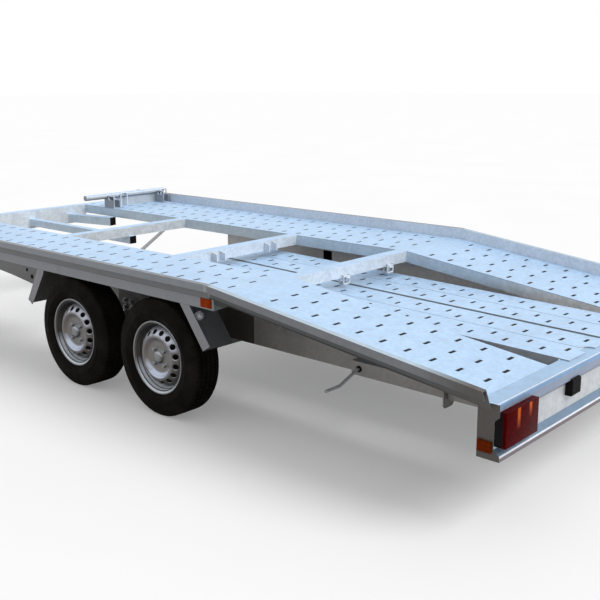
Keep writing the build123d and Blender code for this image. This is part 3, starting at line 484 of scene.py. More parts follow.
def piece(name, bm, material, body="frame", sharp=38.0):
    """A finished piece from a bmesh, smooth except at edges sharper than the given angle."""
    bmesh.ops.recalc_face_normals(bm, faces=bm.faces)
    for edge in bm.edges:
        edge.smooth = len(edge.link_faces) == 2 and edge.calc_face_angle(0.0) < math.radians(sharp)
    for face in bm.faces:
        face.smooth = True
    obj = mesh_object(name, bm, material)
    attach(obj, body)
    return obj


def metres(points):
    """Points given in millimetres, in metres."""
    return [tuple(value * MM for value in point) for point in points]


def ring_faces(bm, rings):
    """The faces between each closed ring and the next, all with as many vertices."""
    for near, far in zip(rings, rings[1:]):
        for corners in zip(near, near[1:] + near[:1], far[1:] + far[:1], far):
            bm.faces.new(corners)


def turned_faces(bm, rings, closed=True):
    """The faces between outlines set round an axis, each outline closed or open."""
    for near, far in zip(rings, rings[1:] + rings[:1]):
        for i in range(len(near) if closed else len(near) - 1):
            j = (i + 1) % len(near)
            bm.faces.new((near[i], far[i], far[j], near[j]))


def turned_point(place, angle, radius, height):
    """A point about the local Z axis of place."""
    return place @ Vector((radius * math.cos(angle), radius * math.sin(angle), height))


def lathe(bm, outline, place, segments, closed=True):
    """Turns (radius, height) points about the local Z axis of place and gives each turn's vertices."""
    rings = []
    for k in range(segments):
        angle = math.tau * k / segments
        rings.append([bm.verts.new(turned_point(place, angle, r, h)) for r, h in outline])
    turned_faces(bm, rings, closed)
    return rings


def turned_piece(name, outline, place, segments, material, body="frame", sharp=38.0):
    """A piece that is one closed outline turned about the local Z axis of place."""
    bm = bmesh.new()
    lathe(bm, outline, place, segments)
    return piece(name, bm, material, body, sharp)


def prism(bm, points, depth, bevel):
    """A flat outline pushed along depth, closed at both ends, with its edges rounded."""
    near = [bm.verts.new(p) for p in points]
    far = [bm.verts.new(p + depth) for p in points]
    faces = [bm.faces.new(near), bm.faces.new(list(reversed(far)))]
    faces += [bm.faces.new(corners) for corners in zip(near, far, far[1:] + far[:1], near[1:] + near[:1])]
    edges = list({edge for face in faces for edge in face.edges})
    bmesh.ops.bevel(bm, geom=edges, offset=bevel, segments=2, affect="EDGES", profile=0.6, clamp_overlap=True)


def upright(points, y):
    """Points given as (x, z) in a plane across Y."""
    return [Vector((x, y, z)) for x, z in points]


def rounded_box(bm, corner, opposite, bevel):
    """A box with rounded edges between two opposite corners, given in any order."""
    low = Vector([min(pair) for pair in zip(corner, opposite)])
    high = Vector([max(pair) for pair in zip(corner, opposite)])
    corners = ((low.x, low.z), (high.x, low.z), (high.x, high.z), (low.x, high.z))
    prism(bm, upright(corners, low.y), Vector((0, high.y - low.y, 0)), bevel)


def rounded(points, radius):
    """A path through the points with each inner corner turned into a bend."""
    steps = 5
    longest_share = 0.48
    path = [points[0]]
    for before, corner, after in zip(points, points[1:], points[2:]):
        back, on = before - corner, after - corner
        reach = min(radius, back.length * longest_share, on.length * longest_share)
        start, end = corner + back.normalized() * reach, corner + on.normalized() * reach
        for k in range(steps + 1):
            share = k / steps
            path.append(start * (1 - share) ** 2 + corner * 2 * share * (1 - share) + end * share ** 2)
    path.append(points[-1])
    return path


def wire(bm, path, radii, sides=12):
    """A round bar along the path, with one radius or one for each point."""
    if not isinstance(radii, list):
        radii = [radii] * len(path)
    across = (path[1] - path[0]).normalized().orthogonal().normalized()
    rings = []
    for k, point in enumerate(path):
        along = (path[min(k + 1, len(path) - 1)] - path[max(k - 1, 0)]).normalized()
        across = (across - along * along.dot(across)).normalized()
        other = along.cross(across)
        rings.append([bm.verts.new(point + (across * math.cos(a) + other * math.sin(a)) * radii[k])
                      for a in (math.tau * i / sides for i in range(sides))])
    ring_faces(bm, rings)
    bm.faces.new(list(reversed(rings[0])))
    bm.faces.new(rings[-1])


def weld(bm, start, end, radius=3.2 * MM):
    """A weld bead with ripples, from start to end."""
    ripple, thin_share, scatter = 5 * MM, 0.78, 0.4
    start, end = Vector(start), Vector(end)
    count = max(4, int((end - start).length / ripple))
    path = [start.lerp(end, k / count) + Vector([random.uniform(-scatter, scatter) * MM for _ in range(3)])
            for k in range(count + 1)]
    wire(bm, path, [radius * (1.0 if k % 2 else thin_share) for k in range(count + 1)], 7)


def facing_out(point):
    """Local Z points outward, to the side the point is on."""
    return Matrix.Translation(point) @ Matrix.Rotation(-math.copysign(math.pi / 2, point[1]), 4, "X")


def row_points(points):
    """(x, z) in metres from millimetres forward of the crest and above the ground."""
    return [(at_crest(x), z * MM) for x, z in points]


# Tyres with grooves and cross cuts in the tread and ribs on the side walls
# The side wall is in millimetres outside the rim's flange and in from the tyre's side, the shoulder in
# millimetres under the tread and in from the side, and a groove in millimetres across it and under the tread
SIDE_WALL = ((-9, 24), (1.2, 20.5), (6, 13), (18, 5.5), (34, 1.6), (38, 0.2), (44, 0.2), (47, 1.8), (62, 3.6),
             (78, 7.5), (90, 12))
SHOULDER = ((9, 17), (4, 21.5), (1, 26))
GROOVE = ((4.5, 0), (3.4, 7), (-3.4, 7), (-4.5, 0))
GROOVE_MIDDLES = (42 * MM, 15 * MM)
TREAD_FALL = 0.012
TREAD_PITCHES = 72
PITCH_RINGS = ((0.0, False), (0.82, False), (0.86, True), (0.96, True))
TREAD_BAND = 5 * MM
CUT_BAND = 2.4 * MM
CUT_DEPTH = 3.2 * MM
CUT_SLANT = 9.1
RIB_HALF = 15 * MM
RIB_SHIFT = 0.14


def tyre_outline():
    """The section from the outer bead over the tread to the inner bead, as radii and heights."""
    half_outline = [(flange_radius + r, tyre_half - h) for r, h in metres(SIDE_WALL)]
    half_outline += [(wheel_radius - r, tyre_half - h) for r, h in metres(SHOULDER)]
    for middle in GROOVE_MIDDLES:
        for across, depth in metres(GROOVE):
            y = middle + across
            half_outline.append((wheel_radius - depth - TREAD_FALL * abs(y), y))
    return half_outline + [(r, -y) for r, y in reversed(half_outline)]


def build_tyre(end, side):
    """A tyre whose tread has slanted cuts, one in each pitch."""
    outline = tyre_outline()
    place = facing_out(wheel_centres[end, side])
    bm = bmesh.new()
    rings = []
    for pitch in range(TREAD_PITCHES):
        for fraction, is_cut in PITCH_RINGS:
            ring = []
            for r, h in outline:
                slant = CUT_SLANT * h + (RIB_SHIFT if abs(h) < RIB_HALF else 0.0)
                turn = pitch + fraction + (slant if r > wheel_radius - TREAD_BAND else 0.0)
                angle = math.tau * turn / TREAD_PITCHES
                if is_cut and r > wheel_radius - CUT_BAND:
                    r = r - CUT_DEPTH
                ring.append(bm.verts.new(turned_point(place, angle, r, h)))
            rings.append(ring)
    turned_faces(bm, rings)
    tyre = piece(f"treaded_tyre_{end}_{side}", bm, tyre_rubber, f"wheel_{end}_{side}", 32.0)
    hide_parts(f"tyre_{end}_{side}")


# Rims: a rolled barrel with dark rings of painted shade in its creases, a dished disc with round vents, hub
# cap, bolts, drum and dust shield
# Outlines are radii and heights over the wheel's middle in millimetres. The barrel's and the creases'
# first values are depths under the flange's radius, and a vent's edges are shares of its radius and depths.
# A bolt's size is its width across the flats, its head's height and its washer's radius.
VENTS = 16
VENT_STEPS = 8
VENT_SIDE_STEPS = 4
TURN_STEPS = VENTS * VENT_STEPS
VENT_RADIUS = 13.6 * MM
VENT_SLOPE = 0.78
VENT_RING = 126 * MM
VENT_BAND = (112 * MM, 140 * MM)
VENT_EDGES = ((1.32, -0.8), (1.12, 0.2), (1.0, 2.6))
BOWL_RADIUS = 102 * MM
TOUCH = 0.001 * MM
DISC_OUTLINE = (
    (152, 24), (150.5, 26), (147.5, 33), (144, 40), (140, 46), (133, 54.5), (126, 61.5),
    (119, 67.5), (112, 72), (107, 73.8), (102, 74), (98, 72.4), (94, 68), (88, 60),
    (82, 55.5), (76, 53.6), (68, 53), (56, 52.8), (44, 53), (36, 53.6), (30, 55.5),
)
BARREL_OUTLINE = (
    (3, 74), (0.8, 73.6), (0, 72.2), (0.2, 70), (3, 68.4), (8.5, 67.6), (12.5, 66), (13.5, 60),
    (14.2, 48), (16.5, 43), (22.5, 34), (28.5, 25), (28.5, -20), (14.2, -37), (12.5, -66),
    (0.2, -68.6), (0, -72.2), (3, -74), (16, -73), (16.5, -37), (31.5, -20), (31.5, 25),
    (25, 34.5), (21, 42), (22.5, 45), (20.5, 48), (19, 60), (17.5, 64), (13, 66),
    (11.5, 70), (8, 72.6),
)
CREASES = ((22.6, 45), (17.8, 64.6))
CREASE_OUTLINE = ((0.6, -1.6), (1, 0), (-0.6, 1.8), (-3, 1.8), (-3, -1.6))
CAP_OUTLINE = (
    (TIP, 73.2), (10, 72.8), (20, 71.4), (26, 69), (29.4, 65.6), (31.2, 61), (31.8, 57), (32, 55.6),
    (35.5, 55), (36, 52), (TIP, 52),
)
WHEEL_BOLTS = 4
WHEEL_BOLT_RING = 50 * MM
SEAT_HEIGHT = 52.6 * MM
SEAT_TOP = 2.4 * MM
SEAT_OUTLINE = ((TIP, 0), (13, 0), (11.5, 2.6), (TIP, 2.6))
DRUM_OUTLINE = ((20, 50), (60, 50), (64, 46), (104, 30), (146, 24), (148, 18),
                (112, 10), (112, -54), (108, -56), (20, -56))
SHIELD_OUTLINE = ((60, -63), (118, -63), (134, -61), (138, -58), (140, -58.4),
                  (136, -63.5), (118, -66), (60, -66))
WHEEL_BOLT = (19, 11, 0)
WASHER_TOP = 2.2 * MM
WASHER_THICK = 2.8 * MM
WASHER_SHARE = 0.94
CHAMFER_SHARE = 0.88
HEAD_SHARE = 0.8


def disc_height(radius):
    """The disc's height above the wheel's middle at a radius, in metres."""
    mm = radius / MM
    for (r0, h0), (r1, h1) in zip(DISC_OUTLINE, DISC_OUTLINE[1:]):
        if r1 <= mm <= r0:
            share = (r0 - mm) / (r0 - r1)
            return (h0 + (h1 - h0) * share) * MM
    return DISC_OUTLINE[-1][1] * MM


def disc_point(place, angle, radius, sink=0.0):
    """A point on the disc, or as far under it as sink says."""
    return turned_point(place, angle, radius, disc_height(radius) - sink)


def vent_cell():
    """The angles and radii round the part of the disc that holds one vent."""
    inner, outer = VENT_BAND
    half = math.pi / VENTS
    corners = ((-half, inner), (half, inner), (half, outer), (-half, outer), (-half, inner))
    edge = []
    for (a0, r0), (a1, r1), steps in zip(corners, corners[1:], (VENT_STEPS, VENT_SIDE_STEPS) * 2):
        edge += [(a0 + (a1 - a0) * k / steps, r0 + (r1 - r0) * k / steps) for k in range(steps)]
    return edge


def vented_disc(bm, place):
    """The disc outside the bowl: plain rings, and between them a band of cells with a vent each."""
    inner, outer = VENT_BAND
    radii = [r * MM for r, h in DISC_OUTLINE]
    outer_rings = [r for r in radii if r >= outer - TOUCH]
    inner_rings = [r for r in radii if BOWL_RADIUS - TOUCH <= r <= inner + TOUCH]
    for group in (outer_rings, inner_rings):
        lathe(bm, [(r, disc_height(r)) for r in group], place, TURN_STEPS, closed=False)
    cell = vent_cell()
    turns = [math.atan2(r - VENT_RING, a * VENT_RING) for a, r in cell]
    for vent in range(VENTS):
        middle = math.tau * (vent + 0.5) / VENTS
        loops = [[bm.verts.new(disc_point(place, middle + a, r)) for a, r in cell]]
        for share, sink in VENT_EDGES:
            reach = VENT_RADIUS * share
            loops.append([bm.verts.new(disc_point(place, middle + reach * math.cos(t) / VENT_RING,
                                                  VENT_RING + reach * VENT_SLOPE * math.sin(t), sink * MM))
                          for t in turns])
        ring_faces(bm, loops)
    bmesh.ops.remove_doubles(bm, verts=bm.verts, dist=0.02 * MM)


def dished_bowl(bm, place):
    """The middle of the disc, dished inward behind the hub cap."""
    outline = [(r * MM, h * MM) for r, h in DISC_OUTLINE if r * MM <= BOWL_RADIUS + TOUCH]
    lathe(bm, outline, place, TURN_STEPS, closed=False)


def hexagon_bolt(bm, place, size):
    """A hexagon head with a chamfered top, on its washer if it has one, standing on local Z = 0."""
    across, height, washer = (value * MM for value in size)
    radius = across / math.sqrt(3)
    if washer:
        lathe(bm, [(TIP * MM, 0), (washer, 0), (washer, WASHER_TOP), (washer * WASHER_SHARE, WASHER_THICK),
                   (TIP * MM, WASHER_THICK)], place, 24)
    base = WASHER_THICK if washer else 0.0
    head = ((radius, base), (radius, base + height * HEAD_SHARE), (radius * CHAMFER_SHARE, base + height))
    corners = lathe(bm, head, place, 6, closed=False)
    bm.faces.new([corner[-1] for corner in corners])


def build_rim(end, side):
    """All the pieces inside one tyre."""
    place = facing_out(wheel_centres[end, side])
    wheel = f"{end}_{side}"
    body = f"wheel_{wheel}"
    barrel = [(flange_radius - depth, h) for depth, h in metres(BARREL_OUTLINE)]
    rim = turned_piece(f"rim_barrel_{wheel}", barrel, place, TURN_STEPS, barrel_paint, body,
                       40.0)
    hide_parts(f"rim_{wheel}")
    for name, make, paint in (("wheel_disc", vented_disc, silver), ("wheel_bowl", dished_bowl, bowl_paint)):
        bm = bmesh.new()
        make(bm, place)
        piece(f"{name}_{wheel}", bm, paint, body, 40.0)
    # Dark rings of painted shade in the barrel's creases
    bm = bmesh.new()
    for depth, h in CREASES:
        ring = [(flange_radius - (depth + dr) * MM, (h + dh) * MM) for dr, dh in CREASE_OUTLINE]
        lathe(bm, ring, place, TURN_STEPS)
    piece(f"rim_crease_shade_{wheel}", bm, drum_steel_and_shade, body)
    bm = bmesh.new()
    lathe(bm, metres(CAP_OUTLINE), place, 48)
    for k in range(WHEEL_BOLTS):
        angle = math.tau * (k + 0.5) / WHEEL_BOLTS
        at_bolt = (WHEEL_BOLT_RING * math.cos(angle), WHEEL_BOLT_RING * math.sin(angle), SEAT_HEIGHT)
        seat = place @ Matrix.Translation(at_bolt)
        lathe(bm, metres(SEAT_OUTLINE), seat, 20)
        hexagon_bolt(bm, seat @ Matrix.Translation((0, 0, SEAT_TOP)), WHEEL_BOLT)
    piece(f"hub_cap_{wheel}", bm, hub_zinc, body)
    turned_piece(f"brake_drum_{wheel}", metres(DRUM_OUTLINE), place, 64, drum_steel_and_shade, body)
    turned_piece(f"dust_shield_{wheel}", metres(SHIELD_OUTLINE), place, 64, drum_steel_and_shade)


for end, side in wheel_centres:
    build_tyre(end, side)
    build_rim(end, side)


# Pressed collars round the slots of the tracks and ramps, dark with painted shade for the gloom seen through
# the slots
# A collar's rings are millimetres in from the slot's edge, corner radii and depths under the sheet
SHEET_MARGINS = (50 * MM, 25 * MM)
SLOT_REACH = 55 * MM
SLOT_LENGTHS = (12 * MM, 20 * MM)
SLOT_WIDTHS = (40 * MM, 50 * MM)
CORNER_STEPS = 3
COLLAR_RINGS = ((0.3, 0.4, 0.4), (1.8, 5.0, 0.7), (2.2, 5.0, 2.0), (2.4, 5.0, 12.0), (0.3, 0.4, 12.0))


def slots_of(node):
    """The middle, the half sizes and the forward direction of each slot in a perforated sheet."""
    low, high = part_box(node.name)
    margin_x, margin_y = SHEET_MARGINS
    groups = []
    for vertex in node.data.vertices:
        point = node.matrix_world @ vertex.co
        inside_x = low.x + margin_x < point.x < high.x - margin_x
        inside_y = low.y + margin_y < point.y < high.y - margin_y
        if not (inside_x and inside_y):
            continue
        group = next((g for g in groups if (g[0] - point).length < SLOT_REACH), None)
        if group is None:
            groups.append([point])
        else:
            group.append(point)
    found = []
    for group in groups:
        x0, x1 = min(p.x for p in group), max(p.x for p in group)
        y0, y1 = min(p.y for p in group), max(p.y for p in group)
        long_enough = SLOT_LENGTHS[0] < x1 - x0 < SLOT_LENGTHS[1]
        wide_enough = SLOT_WIDTHS[0] < y1 - y0 < SLOT_WIDTHS[1]
        if not (long_enough and wide_enough):
            continue
        middle = (x0 + x1) / 2
        rear_z = max(p.z for p in group if p.x < middle)
        front_z = max(p.z for p in group if p.x > middle)
        along = Vector((x1 - x0, 0, front_z - rear_z)).normalized()
        centre = Vector((middle, (y0 + y1) / 2, (rear_z + front_z) / 2))
        found.append((centre, (x1 - x0) / 2, (y1 - y0) / 2, along))
    return found


def slot_ring(centre, half_x, half_y, along, radius, depth):
    """A rounded rectangle at a depth under the sheet's surface."""
    across = Vector((0, 1, 0))
    down = across.cross(along)
    down = down if down.z < 0 else -down
    ring = []
    for quarter, (sx, sy) in enumerate(((1, 1), (-1, 1), (-1, -1), (1, -1))):
        for k in range(CORNER_STEPS + 1):
            angle = math.pi / 2 * (quarter + k / CORNER_STEPS)
            x = sx * (half_x - radius) + radius * math.cos(angle)
            y = sy * (half_y - radius) + radius * math.sin(angle)
            ring.append(centre + along * x + across * y + down * depth)
    return ring


for name, node in nodes.items():
    if not name.startswith(("track_sheet", "ramp_left", "ramp_right")):
        continue
    bm = bmesh.new()
    for centre, half_x, half_y, along in slots_of(node):
        rings = []
        for inset, radius, depth in metres(COLLAR_RINGS):
            ring = slot_ring(centre, half_x - inset, half_y - inset, along, radius, depth)
            rings.append([bm.verts.new(p) for p in ring])
        ring_faces(bm, rings + rings[:1])
    piece(f"slot_collars_{name}", bm, zinc_slot_shade)


# Folded wheel guards with wide slanted strips, and the gussets ahead of the front ones
# A guard is its strip's outline and its plate's top and foot, as row_points takes them
GUARDS = {
    "rear": (((222, 598), (69, 395), (21, 426), (156, 598)), ((222, 598), (69, 395))),
    "front": (((1352, 598), (1360, 574), (1470, 410), (1489, 386), (1527, 409), (1414, 598)),
              ((1352, 598), (1480, 397))),
}
GUSSET = ((1352, 598), (1460, 502), (1686, 528), (1990, 552), (1990, 640), (1462, 640), (1424, 598))
guard_wall = 4 * MM
strip_bevel, plate_bevel = 1.2 * MM, 0.8 * MM
rear_plate_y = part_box("wheel_guard_rear_left")[0].y
plate_inner_y = {"rear": rear_plate_y, "front": rear_plate_y - 40 * MM}
plate_thick = {"rear": guard_wall, "front": -guard_wall}
for side, sign in SIDES.items():
    for end, (strip, line) in GUARDS.items():
        bm = bmesh.new()
        strip_points = upright(row_points(strip), sign * (side_face_y - guard_wall))
        prism(bm, strip_points, Vector((0, sign * guard_wall, 0)), strip_bevel)
        (top_x, top_z), (foot_x, foot_z) = row_points(line)
        thick, inner_y = plate_thick[end], plate_inner_y[end]
        plate = ((top_x, top_z), (foot_x, foot_z), (foot_x - thick, foot_z + MM), (top_x - thick, top_z))
        plate_width = side_face_y - inner_y - MM
        prism(bm, upright(plate, sign * inner_y), Vector((0, sign * plate_width, 0)), plate_bevel)
        guard = piece(f"folded_guard_{end}_{side}", bm, zinc_guard)
        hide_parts(f"wheel_guard_{end}_{side}")
    bm = bmesh.new()
    gusset_points = upright(row_points(GUSSET), sign * (side_face_y - 2 * guard_wall))
    prism(bm, gusset_points, Vector((0, sign * guard_wall * 0.98, 0)), MM)
    piece(f"front_gusset_{side}", bm, zinc_gusset)


# Lamp lenses with their hoods, the amber markers and reflectors, and the plate lamps' windows
# A marker's layers are millimetres in from its edges, off its face at the back and front, and the bevel
MARKER_LAYERS = ((0, 0.6, 8, 3), (6, 7.4, 9, 1.4))
lens_lip = 0.8 * MM
lens_behind, lens_ahead = 4.5 * MM, 9 * MM
hood_drop, hood_inset = 4 * MM, 3 * MM
lens_bevel, hood_bevel = 2 * MM, 0.4 * MM
for side, sign in SIDES.items():
    low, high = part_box(f"rear_lamp_{side}")
    inner_y, outer_y = (low.y, high.y) if sign > 0 else (high.y, low.y)
    bm = bmesh.new()
    rounded_box(bm, (low.x - lens_behind, low.y - lens_lip, low.z - lens_lip),
                (low.x + lens_ahead, high.y + lens_lip, high.z + lens_lip), lens_bevel)
    rounded_box(bm, (low.x + lens_ahead - MM, inner_y, high.z - hood_drop),
                (high.x - MM, outer_y - sign * hood_inset, high.z + lens_lip), hood_bevel)
    piece(f"lamp_lens_{side}", bm, red_lens)

marker_low, marker_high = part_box("side_markers")
marker_length, marker_tall = 58 * MM, 44 * MM
end_marker_foot = member_low.z + 26 * MM
end_marker_y = member_high.y - 16.4 * MM
reflector_foot = marker_high.z - marker_tall
reflector_length = 70 * MM


def marker(bm, rear, length, foot, y, sign):
    """A lens with a raised field, on a face at y on the side of the sign."""
    for inset, back, front, bevel in metres(MARKER_LAYERS):
        rounded_box(bm, (rear + inset, sign * (y + back), foot + inset),
                    (rear + length - inset, sign * (y + front), foot + marker_tall - inset), bevel)


backing_rear, backing_front = at_crest(-12), at_crest(77)
backing_foot, backing_top = reflector_foot - 5 * MM, marker_high.z + 3 * MM
backing_inner_y, backing_outer_y = side_face_y + 0.1 * MM, side_face_y + 1.4 * MM
backing_bevel = 0.6 * MM
end_markers, reflectors, backings = bmesh.new(), bmesh.new(), bmesh.new()
for sign in SIDES.values():
    marker(end_markers, marker_low.x, marker_length, end_marker_foot, end_marker_y, sign)
    marker(reflectors, at_crest(0), reflector_length, reflector_foot, side_face_y, sign)
    rounded_box(backings, (backing_rear, sign * backing_inner_y, backing_foot),
                (backing_front, sign * backing_outer_y, backing_top), backing_bevel)
markers = piece("amber_markers", end_markers, amber_lens)
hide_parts("side_markers")
piece("side_reflectors", reflectors, orange_lens)
piece("marker_backings", backings, zinc_backing)

plate_low, plate_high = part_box("plate_lamps")
window_middle, window_half = plate_high.y - 35 * MM, 22 * MM
window_rear, window_front = plate_low.x + 4 * MM, plate_low.x + 20 * MM
window_foot, window_top = plate_low.z - 2 * MM, plate_low.z + 6 * MM
window_bevel = 1.6 * MM
bm = bmesh.new()
for sign in SIDES.values():
    middle = sign * window_middle
    rounded_box(bm, (window_rear, middle - window_half, window_foot),
                (window_front, middle + window_half, window_top), window_bevel)
piece("plate_lamp_windows", bm, clear_lens)


# Hooks under the crest beam
crest_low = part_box("cross_beam_crest")[0]
hook_x = crest_low.x - 6 * MM
hook_tip_x = hook_x + 26 * MM
hook_top, hook_foot, hook_tip = (crest_low.z + z * MM for z in (14, -36, -12))
hook_half = 24 * MM
hook_middles = (76 * MM, -308 * MM)
hook_bars = (-35 * MM, 3 * MM)
hook_bend, hook_radius, bar_radius, hook_weld = 12 * MM, 5.5 * MM, 4.5 * MM, 2.4 * MM
bm = bmesh.new()
for middle in hook_middles:
    for y in (middle - hook_half, middle + hook_half):
        corners = ((hook_x, hook_top), (hook_x, hook_foot), (hook_tip_x, hook_foot), (hook_tip_x, hook_tip))
        wire(bm, rounded(upright(corners, y), hook_bend), hook_radius)
        weld_x, weld_y = hook_x + 4 * MM, y - 5 * MM
        weld(bm, (weld_x, weld_y, hook_top), (weld_x, weld_y, crest_low.z), hook_weld)
    for z in hook_bars:
        bar_ys = (middle - hook_half, middle, middle + hook_half)
        wire(bm, [Vector((hook_x, y, crest_low.z + z)) for y in bar_ys], bar_radius)
piece("beam_hooks", bm, zinc_bright)


# Wire loops on the wheel stops
LOOP_SPANS = ((600, 660), (1000, 1056))
loop_bend, loop_radius = 16 * MM, 5.5 * MM
for side, sign in SIDES.items():
    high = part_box(f"wheel_stop_{side}")[1]
    loop_x, loop_top = high.x - 46 * MM, high.z - 6 * MM
    bm = bmesh.new()
    for span in LOOP_SPANS:
        near, far = (sign * y * MM for y in span)
        corners = ((near, deck_top), (near, loop_top), (far, loop_top), (far, deck_top))
        wire(bm, rounded([Vector((loop_x, y, z)) for y, z in corners], loop_bend), loop_radius)
    piece(f"stop_loops_{side}", bm, zinc_bright)


# Rolled inner edges of the stored ramps, dark with painted shade that widens the gap between them
ramp_slope = math.tan(math.radians(1.4))
edge_radius, edge_sink = 5.2 * MM, 2.6 * MM
edge_rear, edge_front = 50 * MM, 2 * MM
edge_steps = 12
for side, sign in SIDES.items():
    low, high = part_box(f"ramp_{side}")
    inner_y = low.y if sign > 0 else high.y
    rise = (high.x - low.x - edge_rear) * ramp_slope
    start = Vector((low.x + edge_rear, inner_y, high.z - rise - edge_sink))
    front = Vector((high.x - edge_front, inner_y, high.z - edge_sink))
    bm = bmesh.new()
    wire(bm, [start.lerp(front, k / edge_steps) for k in range(edge_steps + 1)], edge_radius, 14)
    piece(f"ramp_edge_shade_{side}", bm, zinc_slot_shade)


# Bolts, caps, plugs and welds
# A plug's outline is shares of its radius and heights in millimetres
AXLE_BOLT, RAIL_BOLT, BAND_BOLT, HEAD_BOLT = (19, 12, 17), (17, 10, 15), (17, 9, 14), (17, 9, 13)
CAP_TURN = math.radians(-127)
GUARD_CAP = ((TIP, 16), (9, 15), (16, 11), (20, 5), (21, 0), (25, -1), (25, -16), (TIP, -16))
PLUGS = ((1478, 545, 12 * MM), (1526, 578, 9 * MM))
PLUG_OUTLINE = ((0, 1.5), (0.6, 1.2), (0.7, 3), (1, 2.4), (1, -1), (0, -1))
cap_x, cap_y, cap_z = at_crest(152), 962 * MM, 532 * MM
plug_y = side_face_y - 1.1 * guard_wall
seat_gap = 0.2 * MM


def bolts(name, places, size):
    """One piece of bolt heads on washers, all riding on the frame."""
    bm = bmesh.new()
    for place in places:
        hexagon_bolt(bm, place, size)
    piece(name, bm, zinc_bolt)


for side, sign in SIDES.items():
    cap_place = Matrix.Translation((cap_x, sign * cap_y, cap_z)) @ Matrix.Rotation(CAP_TURN, 4, "Y")
    turned_piece(f"guard_cap_{side}", metres(GUARD_CAP), cap_place, 32, zinc_bright)
    bm = bmesh.new()
    for x, z, radius in PLUGS:
        plug = facing_out((at_crest(x), sign * plug_y, z * MM))
        outline = [(max(share * radius, TIP * MM), h * MM) for share, h in PLUG_OUTLINE]
        lathe(bm, outline, plug, 28)
    piece(f"gusset_plugs_{side}", bm, black_plastic)
    rail_face_y = sign * (rail_high.y + seat_gap)
    axle_fronts = [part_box(f"axle_{end}")[1].x for end in ENDS]
    bolts(f"axle_bolts_{side}", [facing_out((axle_front - back * MM, rail_face_y, rail_low.z + up * MM))
                                 for axle_front in axle_fronts for back in (68, 12) for up in (22, 60)],
          AXLE_BOLT)
    rail_places = [facing_out((at_crest(x), rail_face_y, z * MM)) for x in (-60, 20) for z in (430, 560)]
    bolts(f"rail_bolts_{side}", rail_places, RAIL_BOLT)

weld_inset, weld_end = 1.5 * MM, 3 * MM
bm = bmesh.new()
for name in ("cross_beam_crest", "cross_beam_third", "cross_beam_second", "cross_beam_front"):
    low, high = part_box(name)
    for sign in SIDES.values():
        y = sign * (high.y - weld_inset)
        for x in (low.x, high.x):
            weld(bm, (x, y, low.z + weld_end), (x, y, high.z - weld_end))
        weld(bm, (low.x, y, low.z), (high.x, y, low.z))
piece("beam_welds", bm, zinc_beam)


# Drawbar, coupling, steady crank and jockey wheel details
BAND_SECTION = ((-1, -7), (2, -6), (2.6, 0), (2, 6), (-1, 7))
BUSH_OUTLINE = ((7.4, 3), (14, 3), (15, 2), (15, -1), (7.4, -1))
KNOB_OUTLINE = ((TIP, 0), (11.5, 0), (13, 3), (11.6, 16), (13.2, 30), (9, 36), (TIP, 38))
nose_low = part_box("drawbar_nose")[0]
housing_low, housing_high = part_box("overrun_housing")
head_low, head_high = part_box("coupling_head")
upside_down = Matrix.Rotation(math.pi, 4, "X")
bolts("nose_bolts", [Matrix.Translation((nose_low.x + x * MM, y * MM, nose_low.z)) @ upside_down
                     for x in (35, 150) for y in (-72, 72)], AXLE_BOLT)

band_end = 14 * MM
side_sink = 0.5 * MM
bm = bmesh.new()
for x in (housing_low.x + band_end, housing_high.x - band_end):
    band_middle = (x, 0, (housing_low.z + housing_high.z) / 2)
    band_place = Matrix.Translation(band_middle) @ Matrix.Rotation(math.pi / 2, 4, "Y")
    lathe(bm, [(housing_high.y + dr, h) for dr, h in metres(BAND_SECTION)], band_place, 48)
for sign in SIDES.values():
    seat = facing_out((housing_low.x + 60 * MM, sign * (housing_high.y - side_sink), housing_low.z + 30 * MM))
    hexagon_bolt(bm, seat, BAND_BOLT)
piece("housing_bands", bm, zinc_bolt)
head_bolt_x, head_bolt_z = head_low.x + 34 * MM, head_low.z + 70 * MM
bolts("coupling_bolts", [facing_out((head_bolt_x, sign * (head_high.y - side_sink), head_bolt_z))
                         for sign in SIDES.values()], HEAD_BOLT)

crank_low, crank_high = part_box("steady_crank")
bush_place = facing_out(((crank_low.x + crank_high.x) / 2, crank_low.y + MM, crank_high.z - 7 * MM))
turned_piece("crank_bush", metres(BUSH_OUTLINE), bush_place, 32, black_plastic)

column_low, column_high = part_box("jockey_column")
knob_x, knob_z = column_low.x + 11 * MM, column_high.z - 34 * MM
knob_place = Matrix.Translation((knob_x, (column_low.y + column_high.y) / 2, knob_z))
turned_piece("jockey_knob", metres(KNOB_OUTLINE), knob_place, 24, black_plastic)


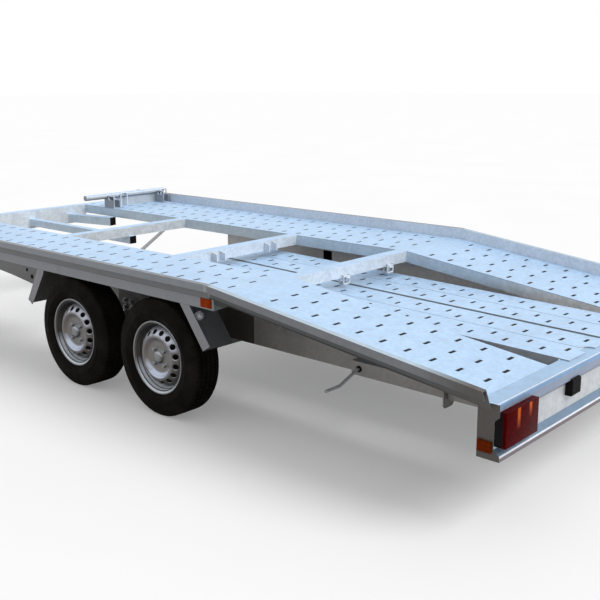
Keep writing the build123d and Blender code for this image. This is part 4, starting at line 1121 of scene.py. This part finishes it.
# Camera, fitted to the photograph, which is 600 pixels wide and high
photo_px = 600
focal_px = 900.8328
middle_px = (298.701, 268.749)
camera_at = (-4.514288, 3.657336, 1.590802)
yaw, pitch, roll = (math.radians(angle) for angle in (-47.92396, -11.61747, -0.219775))
camera_data = bpy.data.cameras.new("camera")
camera_data.sensor_width = 36.0
camera_data.lens = focal_px / photo_px * camera_data.sensor_width
camera_data.shift_x = (photo_px / 2 - middle_px[0]) / photo_px
camera_data.shift_y = (middle_px[1] - photo_px / 2) / photo_px
camera_data.clip_end = 500.0
camera = scene_object("camera", camera_data)
bpy.context.scene.camera = camera
ahead = Vector((math.cos(pitch) * math.cos(yaw), math.cos(pitch) * math.sin(yaw), math.sin(pitch)))
right = ahead.cross(Vector((0, 0, 1))).normalized()
up = right.cross(ahead)
turned_right = right * math.cos(roll) + up * math.sin(roll)
turned_up = up * math.cos(roll) - right * math.sin(roll)
camera.matrix_world = Matrix.Translation(camera_at) @ Matrix(
    (turned_right, turned_up, -ahead)).transposed().to_4x4()


# Floor, world and lamp
floor_size = 120.0
floor_glow = 0.22
bm = bmesh.new()
bmesh.ops.create_grid(bm, x_segments=2, y_segments=2, size=floor_size)
t = Tree(bpy.data.materials.new("floor_paper"))
t.link("Base Color", t.mix(t.spread(t.noise(0.8, 3.0), 0.3, 0.7), (0.80, 0.80, 0.80), (0.82, 0.82, 0.82)))
t.set(Roughness=1.0, Specular_IOR_Level=0.0, Emission_Color=(1.0, 1.0, 1.0, 1.0))
to_camera = t.add("LightPath").outputs["Is Camera Ray"]
t.link("Emission Strength", t.spread(to_camera, 0.0, 1.0, 0.0, floor_glow))
mesh_object("floor", bm, t.owner)

light_level, seen_level = 0.55, 1.0
world = bpy.data.worlds.new("studio")
bpy.context.scene.world = world
t = Tree(world, "Background")
t.set(Color=(1.0, 1.0, 1.0, 1.0))
rays = t.add("LightPath").outputs
seen = rays["Is Camera Ray"]
for kind in ("Is Glossy Ray", "Is Transmission Ray"):
    seen = t.math("MAXIMUM", seen, rays[kind])
t.link("Strength", t.spread(seen, 0.0, 1.0, light_level, seen_level))

sun_data = bpy.data.lights.new("soft_sun", "SUN")
sun_data.energy = 1.7
sun_data.angle = math.radians(35.0)
sun_toward = Vector((-0.9, -0.3, 1.0))
scene_object("soft_sun", sun_data).rotation_euler = sun_toward.to_track_quat("Z", "Y").to_euler()

bpy.context.scene.view_settings.view_transform = "Standard"
